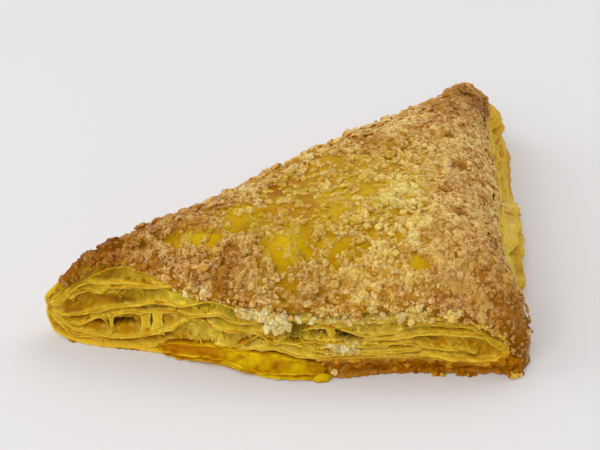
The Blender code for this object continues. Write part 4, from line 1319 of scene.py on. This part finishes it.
def makeGlaze():   # an uneven plan grid lifted to the crust's height plus the relief, kept where it shows, with walls
    step = glazeLook["step"]
    x, y = np.meshgrid(*(np.arange(a, b, step) for a, b in zip(glazeLook["from"], glazeLook["to"])), indexing="ij")
    number = np.stack([*np.indices(x.shape), 0 * x.astype(int)], axis=-1)
    x, y = (at + (latticeValue(number, seed) - 0.5) * step * 0.5 for at, seed in ((x, 621), (y, 622)))
    height, border, fineBorder, there, value = glazeRelief(x, y)
    inside = rimGap(x, y)
    steep = np.hypot(crustHeightAt(x + 1, y) - crustHeightAt(x - 1, y),
                     crustHeightAt(x, y + 1) - crustHeightAt(x, y - 1)) / 2
    height = height - 1.2 * (1 - ease(inside / 0.9)) - 1.2 * ease((steep - 1.6) / 0.5)
    ground = crustHeightAt(x, y)
    shown = (height > glazeLook["lowest"]) & (inside > -0.2)
    cells = shown[:-1, :-1] | shown[1:, :-1] | shown[:-1, 1:] | shown[1:, 1:]
    cells &= (inside[:-1, :-1] > -0.4)
    top = np.stack([x, y, ground + height], axis=-1)
    low = np.stack([x, y, ground - glazeLook["thickness"]], axis=-1)
    number = np.arange(x.size).reshape(x.shape)
    a, b, c, d = number[:-1, :-1], number[1:, :-1], number[1:, 1:], number[:-1, 1:]
    quads = np.stack([a, b, c, d], axis=-1)[cells]
    padded = np.pad(cells, 1)
    beside = padded[1:-1, :-2], padded[2:, 1:-1], padded[1:-1, 2:], padded[:-2, 1:-1]
    walls = []
    for (start, end), filled in zip(((a, b), (b, c), (c, d), (d, a)), beside):   # one wall on each open side of a cell
        edge = cells & ~filled
        walls.append(np.stack([end[edge], start[edge], start[edge] + x.size, end[edge] + x.size], axis=-1))
    faces = np.concatenate([quads, quads[:, ::-1] + x.size] + walls)
    # paler rims and higher tops of the melted sugar: painted highlight
    rim, fineRim = bell((border - 0.2) / 0.14), bell((fineBorder - 0.2) / 0.14)
    colour = sugarTone(top, value, np.clip(0.7 * rim + 0.4 * fineRim + 0.6 * (height - 0.6), 0, 1))
    creviceShade = bell(border / 0.2) * ease(softNoise(top / 1.6, 631) / 0.3 + 0.5)   # painted shade in the gaps between some of the lumps
    colour = layered(colour, ((180, 110, 6), 0.8 * ease((0.15 - height) / 0.45)),
                     ((150, 88, 4), 0.75 * creviceShade * there))
    raised = np.tile((0.1 + 0.7 * ease((height + 0.05) / 0.5)).ravel(), 2)
    used, faces = np.unique(faces, return_inverse=True)
    points = np.concatenate([top.reshape(-1, 3), low.reshape(-1, 3)])[used]
    colours = np.concatenate([colour.reshape(-1, 3), colour.reshape(-1, 3) * glazeLook["deepTone"]])[used]
    return makePiece("meltedSugar", points, [faces.reshape(-1, 4)], sugarFinish, colours, raised=raised[used])


makeGlaze()
for sizeName, sizeValues in sugarLook["sizes"].items():
    scatterSugar(sizeName, *sizeValues)


# Loose grains that hang over the cut front or lie between its layers, and the burnt sugar along the bottom rim.

looseLook = {
    # clusters: distance along the edge, height, half sizes, how many, smallest and largest, how far proud, in mm
    "grains": [(55, 16.2, 5.5, 1.7, 84, 0.8, 1.9, -0.3), (60.5, 13.8, 3.2, 1.9, 76, 0.8, 2.0, -0.3),
               (81, 15.4, 9, 1.4, 34, 0.8, 1.8, -1.4), (77.5, 7.3, 4.5, 1.2, 44, 0.8, 2.0, -1.1),
               (95, 16.4, 4, 1.8, 34, 1.0, 2.4, -0.4), (104, 16.2, 3, 1.5, 16, 1.0, 2.4, -0.4),
               (38, 18.6, 5, 1.0, 14, 0.9, 1.8, -0.2), (70, 15.5, 5, 1.2, 14, 0.8, 1.8, -0.9)],
    "burnt": [(97, 1.6, 24, 1.3, 240, 0.7, 1.8, -1.1), (99, 0.4, 23, 0.4, 140, 0.7, 1.6, -0.45),
              (120.5, 2.2, 3.0, 2.2, 34, 1.2, 2.6, 0.2), (101, 0.3, 1.5, 0.3, 9, 1.0, 1.8, 1.0),
              (108, 0.3, 3, 0.3, 12, 1.0, 1.8, 0.8), (121.0, 0.6, 1.6, 0.6, 12, 1.4, 2.4, 1.6)],
    # drops of syrup run out on the floor: middle on the plan, half sizes, height, turn
    "drops": [(71.1, -9.0, 2.5, 1.6, 1.7, 0.1), (68.6, -8.0, 1.3, 1.0, 0.9, 0.5), (48.9, -6.8, 1.2, 0.8, 0.6, 0.0),
              (101.6, -3.9, 0.9, 0.6, 0.5, 0.3)],
    # single grains: middle on the plan, height, size
    "crumbs": [(74.2, -7.6, 1.5, 1.9), (108.2, -3.4, 0.4, 1.3), (119.3, -2.4, 1.0, 2.4), (121.0, -1.4, 0.7, 1.8),
               (101.2, -4.0, 0.4, 1.0)],
    "dropSides": 20,
}
looseLump = lumpShape(*sugarLook["sizes"]["middleSugar"][:2])


def looseTone(p, brightness, rim):   # pale clear sugar, paler on tops and rims with painted highlight, more golden to the right
    return tinted(p.shape, (212, 168, 80), ((250, 230, 214), 0.7 * rim + 1.2 * (brightness - 0.5)),
                  ((224, 188, 96), ease((p[..., 0] - 88) / 6) * 0.7))


def burntAndHighlightTone(p, brightness, rim):   # brown to golden caramel, paler gold on the lumps' tops and rims as painted highlight
    return tinted(p.shape, (126, 64, 4), ((190, 122, 14), 0.35 + 0.3 * rim + 0.8 * (brightness - 0.5)),
                  ((206, 146, 60), 0.8 * ease((brightness - 0.88) / 0.1) * rim))


def scatterLoose(name, groups, seed, toneOf, material):   # grains thrown round the middle of each cluster in front
    rng = np.random.default_rng(seed)
    thrown = [np.array([middle + half * np.clip(rng.normal(0, 0.5, count), -1, 1),
                        level + tall * rng.uniform(-1, 1, count),
                        rng.uniform(small, large, count), out + rng.normal(0, 0.25, count)])
              for middle, level, half, tall, count, small, large, out in groups]
    run, height, size, proud = np.concatenate(thrown, axis=1)
    spot, out = wallSpot(run, np.maximum(height, 0.1 * size), proud)
    normal = unit(np.concatenate([out, np.full((len(out), 1), 0.4)], axis=-1))
    return makeLumps(name, looseLump, spot, normal, size, 0.1, 0.1, rng, material, toneOf)


def makeDrops():   # low domes with a wavy edge and a flat foot
    level = np.array([0.0, 0.25, 0.5, 0.7, 0.86, 0.96])[:, None]
    width = np.sqrt(1 - level ** 2) * np.array([0.94, 1.0, 1.02, 1.0, 1.0, 1.0])[:, None]
    angle = 2 * math.pi * np.arange(looseLook["dropSides"]) / looseLook["dropSides"]
    bodies = []
    for k, (x, y, half, across, tall, turn) in enumerate(looseLook["drops"]):
        wave = 1 + 0.1 * np.sin(2 * angle + k) + 0.06 * np.sin(5 * angle + 2 * k)
        a, b = half * width * wave * np.cos(angle), across * width * wave * np.sin(angle)
        grid = np.stack([x + a * math.cos(turn) - b * math.sin(turn), y + a * math.sin(turn) + b * math.cos(turn),
                         floorGap + tall * level + 0 * a], axis=-1)
        colour = tinted(grid.shape, (196, 144, 10), ((226, 192, 60), grid[..., 2] / 1.6))
        bodies.append(closedBody(grid, colour, outward=False, ends=[[x, y, floorGap], [x, y, floorGap + tall]]))
    return joinBodies("syrupDrops", bodies, glazeFinish)


def makeCrumbs():   # single grains at their own places
    *spot, size = np.array(looseLook["crumbs"]).T
    normal = np.array([[0.0, -0.5, 0.87]]) * np.ones((len(size), 1))
    return makeLumps("strayGrains", looseLump, np.stack(spot, axis=-1), normal, size, 0.1, 0.1,
                     np.random.default_rng(730), sugarFinish, looseTone)


scatterLoose("looseGrains", looseLook["grains"], 710, looseTone, sugarFinish)
scatterLoose("burntSugar", looseLook["burnt"], 720, burntAndHighlightTone, glazeFinish)
makeDrops()
makeCrumbs()


# Floor, lights and camera.

def makeStage():   # a wide square of pale paper
    mesh = bpy.data.meshes.new("floor")
    mesh.from_pydata([(x, y, 0) for x, y in ((-4.0, -4.0), (4.0, -4.0), (4.0, 4.0), (-4.0, 4.0))], [], [(0, 1, 2, 3)])
    paper = bpy.data.materials.new("paleFloor")
    paper.use_nodes = True
    fillInputs(paper.node_tree, paper.node_tree.nodes["Principled BSDF"],
               {"Base Color": (0.80, 0.79, 0.80, 1), "Roughness": 0.85, "Specular IOR Level": 0.2})
    mesh.materials.append(paper)
    placeObject("floor", mesh)


studioLight = {
    "world": ((0.98, 0.99, 1.0), 0.31),
    # place in m, size in m, power in W, colour; all point at the target
    "lamps": [((-0.8, 0.0, 0.6), 0.8, 3.3, (1.0, 0.99, 0.97)), ((0.0, 0.75, 0.8), 0.8, 2.2, (1.0, 0.99, 0.98)),
              ((-0.25, -0.9, 0.7), 0.9, 7.4, (1.0, 0.98, 0.96)), ((0.6, 0.5, 0.7), 0.7, 2.8, (1.0, 0.98, 0.96))],
    "target": (0, 0, 0.01),
}


def makeLights():   # an even world light and four soft boxes that face the target
    world = bpy.data.worlds.new("studio")
    bpy.context.scene.world = world
    world.use_nodes = True
    colour, strength = studioLight["world"]
    fillInputs(world.node_tree, world.node_tree.nodes["Background"], {"Color": (*colour, 1), "Strength": strength})
    for k, (place, size, power, colour) in enumerate(studioLight["lamps"]):
        lamp = bpy.data.lights.new("softbox%d" % k, "AREA")
        lamp.size, lamp.energy, lamp.color = size, power, colour
        box = placeObject(lamp.name, lamp)
        box.location = place
        box.rotation_euler = (Vector(studioLight["target"]) - Vector(place)).to_track_quat("-Z", "Y").to_euler()


cameraView = {"azimuth": 6.4, "elevation": 30.9, "distance": 0.425, "target": (57.0, 66.5, 0.0), "angle": 24.0}


def makeCamera():   # stands off the target along azimuth and elevation; its angle sets the lens
    a, e = math.radians(cameraView["azimuth"]), math.radians(cameraView["elevation"])
    back = Vector((math.sin(a) * math.cos(e), -math.cos(a) * math.cos(e), math.sin(e)))
    lens = bpy.data.cameras.new("camera")
    lens.sensor_width = 36.0
    lens.lens = 0.5 * lens.sensor_width / math.tan(math.radians(cameraView["angle"] / 2))
    camera = placeObject("camera", lens)
    target = (np.array(cameraView["target"]) + planShift) * mm
    camera.location = Vector(target) + back * cameraView["distance"]
    camera.rotation_mode = "QUATERNION"
    camera.rotation_quaternion = (-back).to_track_quat("-Z", "Y")
    bpy.context.scene.camera = camera


makeStage()
makeLights()
makeCamera()
bpy.context.scene.view_settings.view_transform = "Standard"

bpy.context.view_layer.update()
print("stage, lights and camera ready")
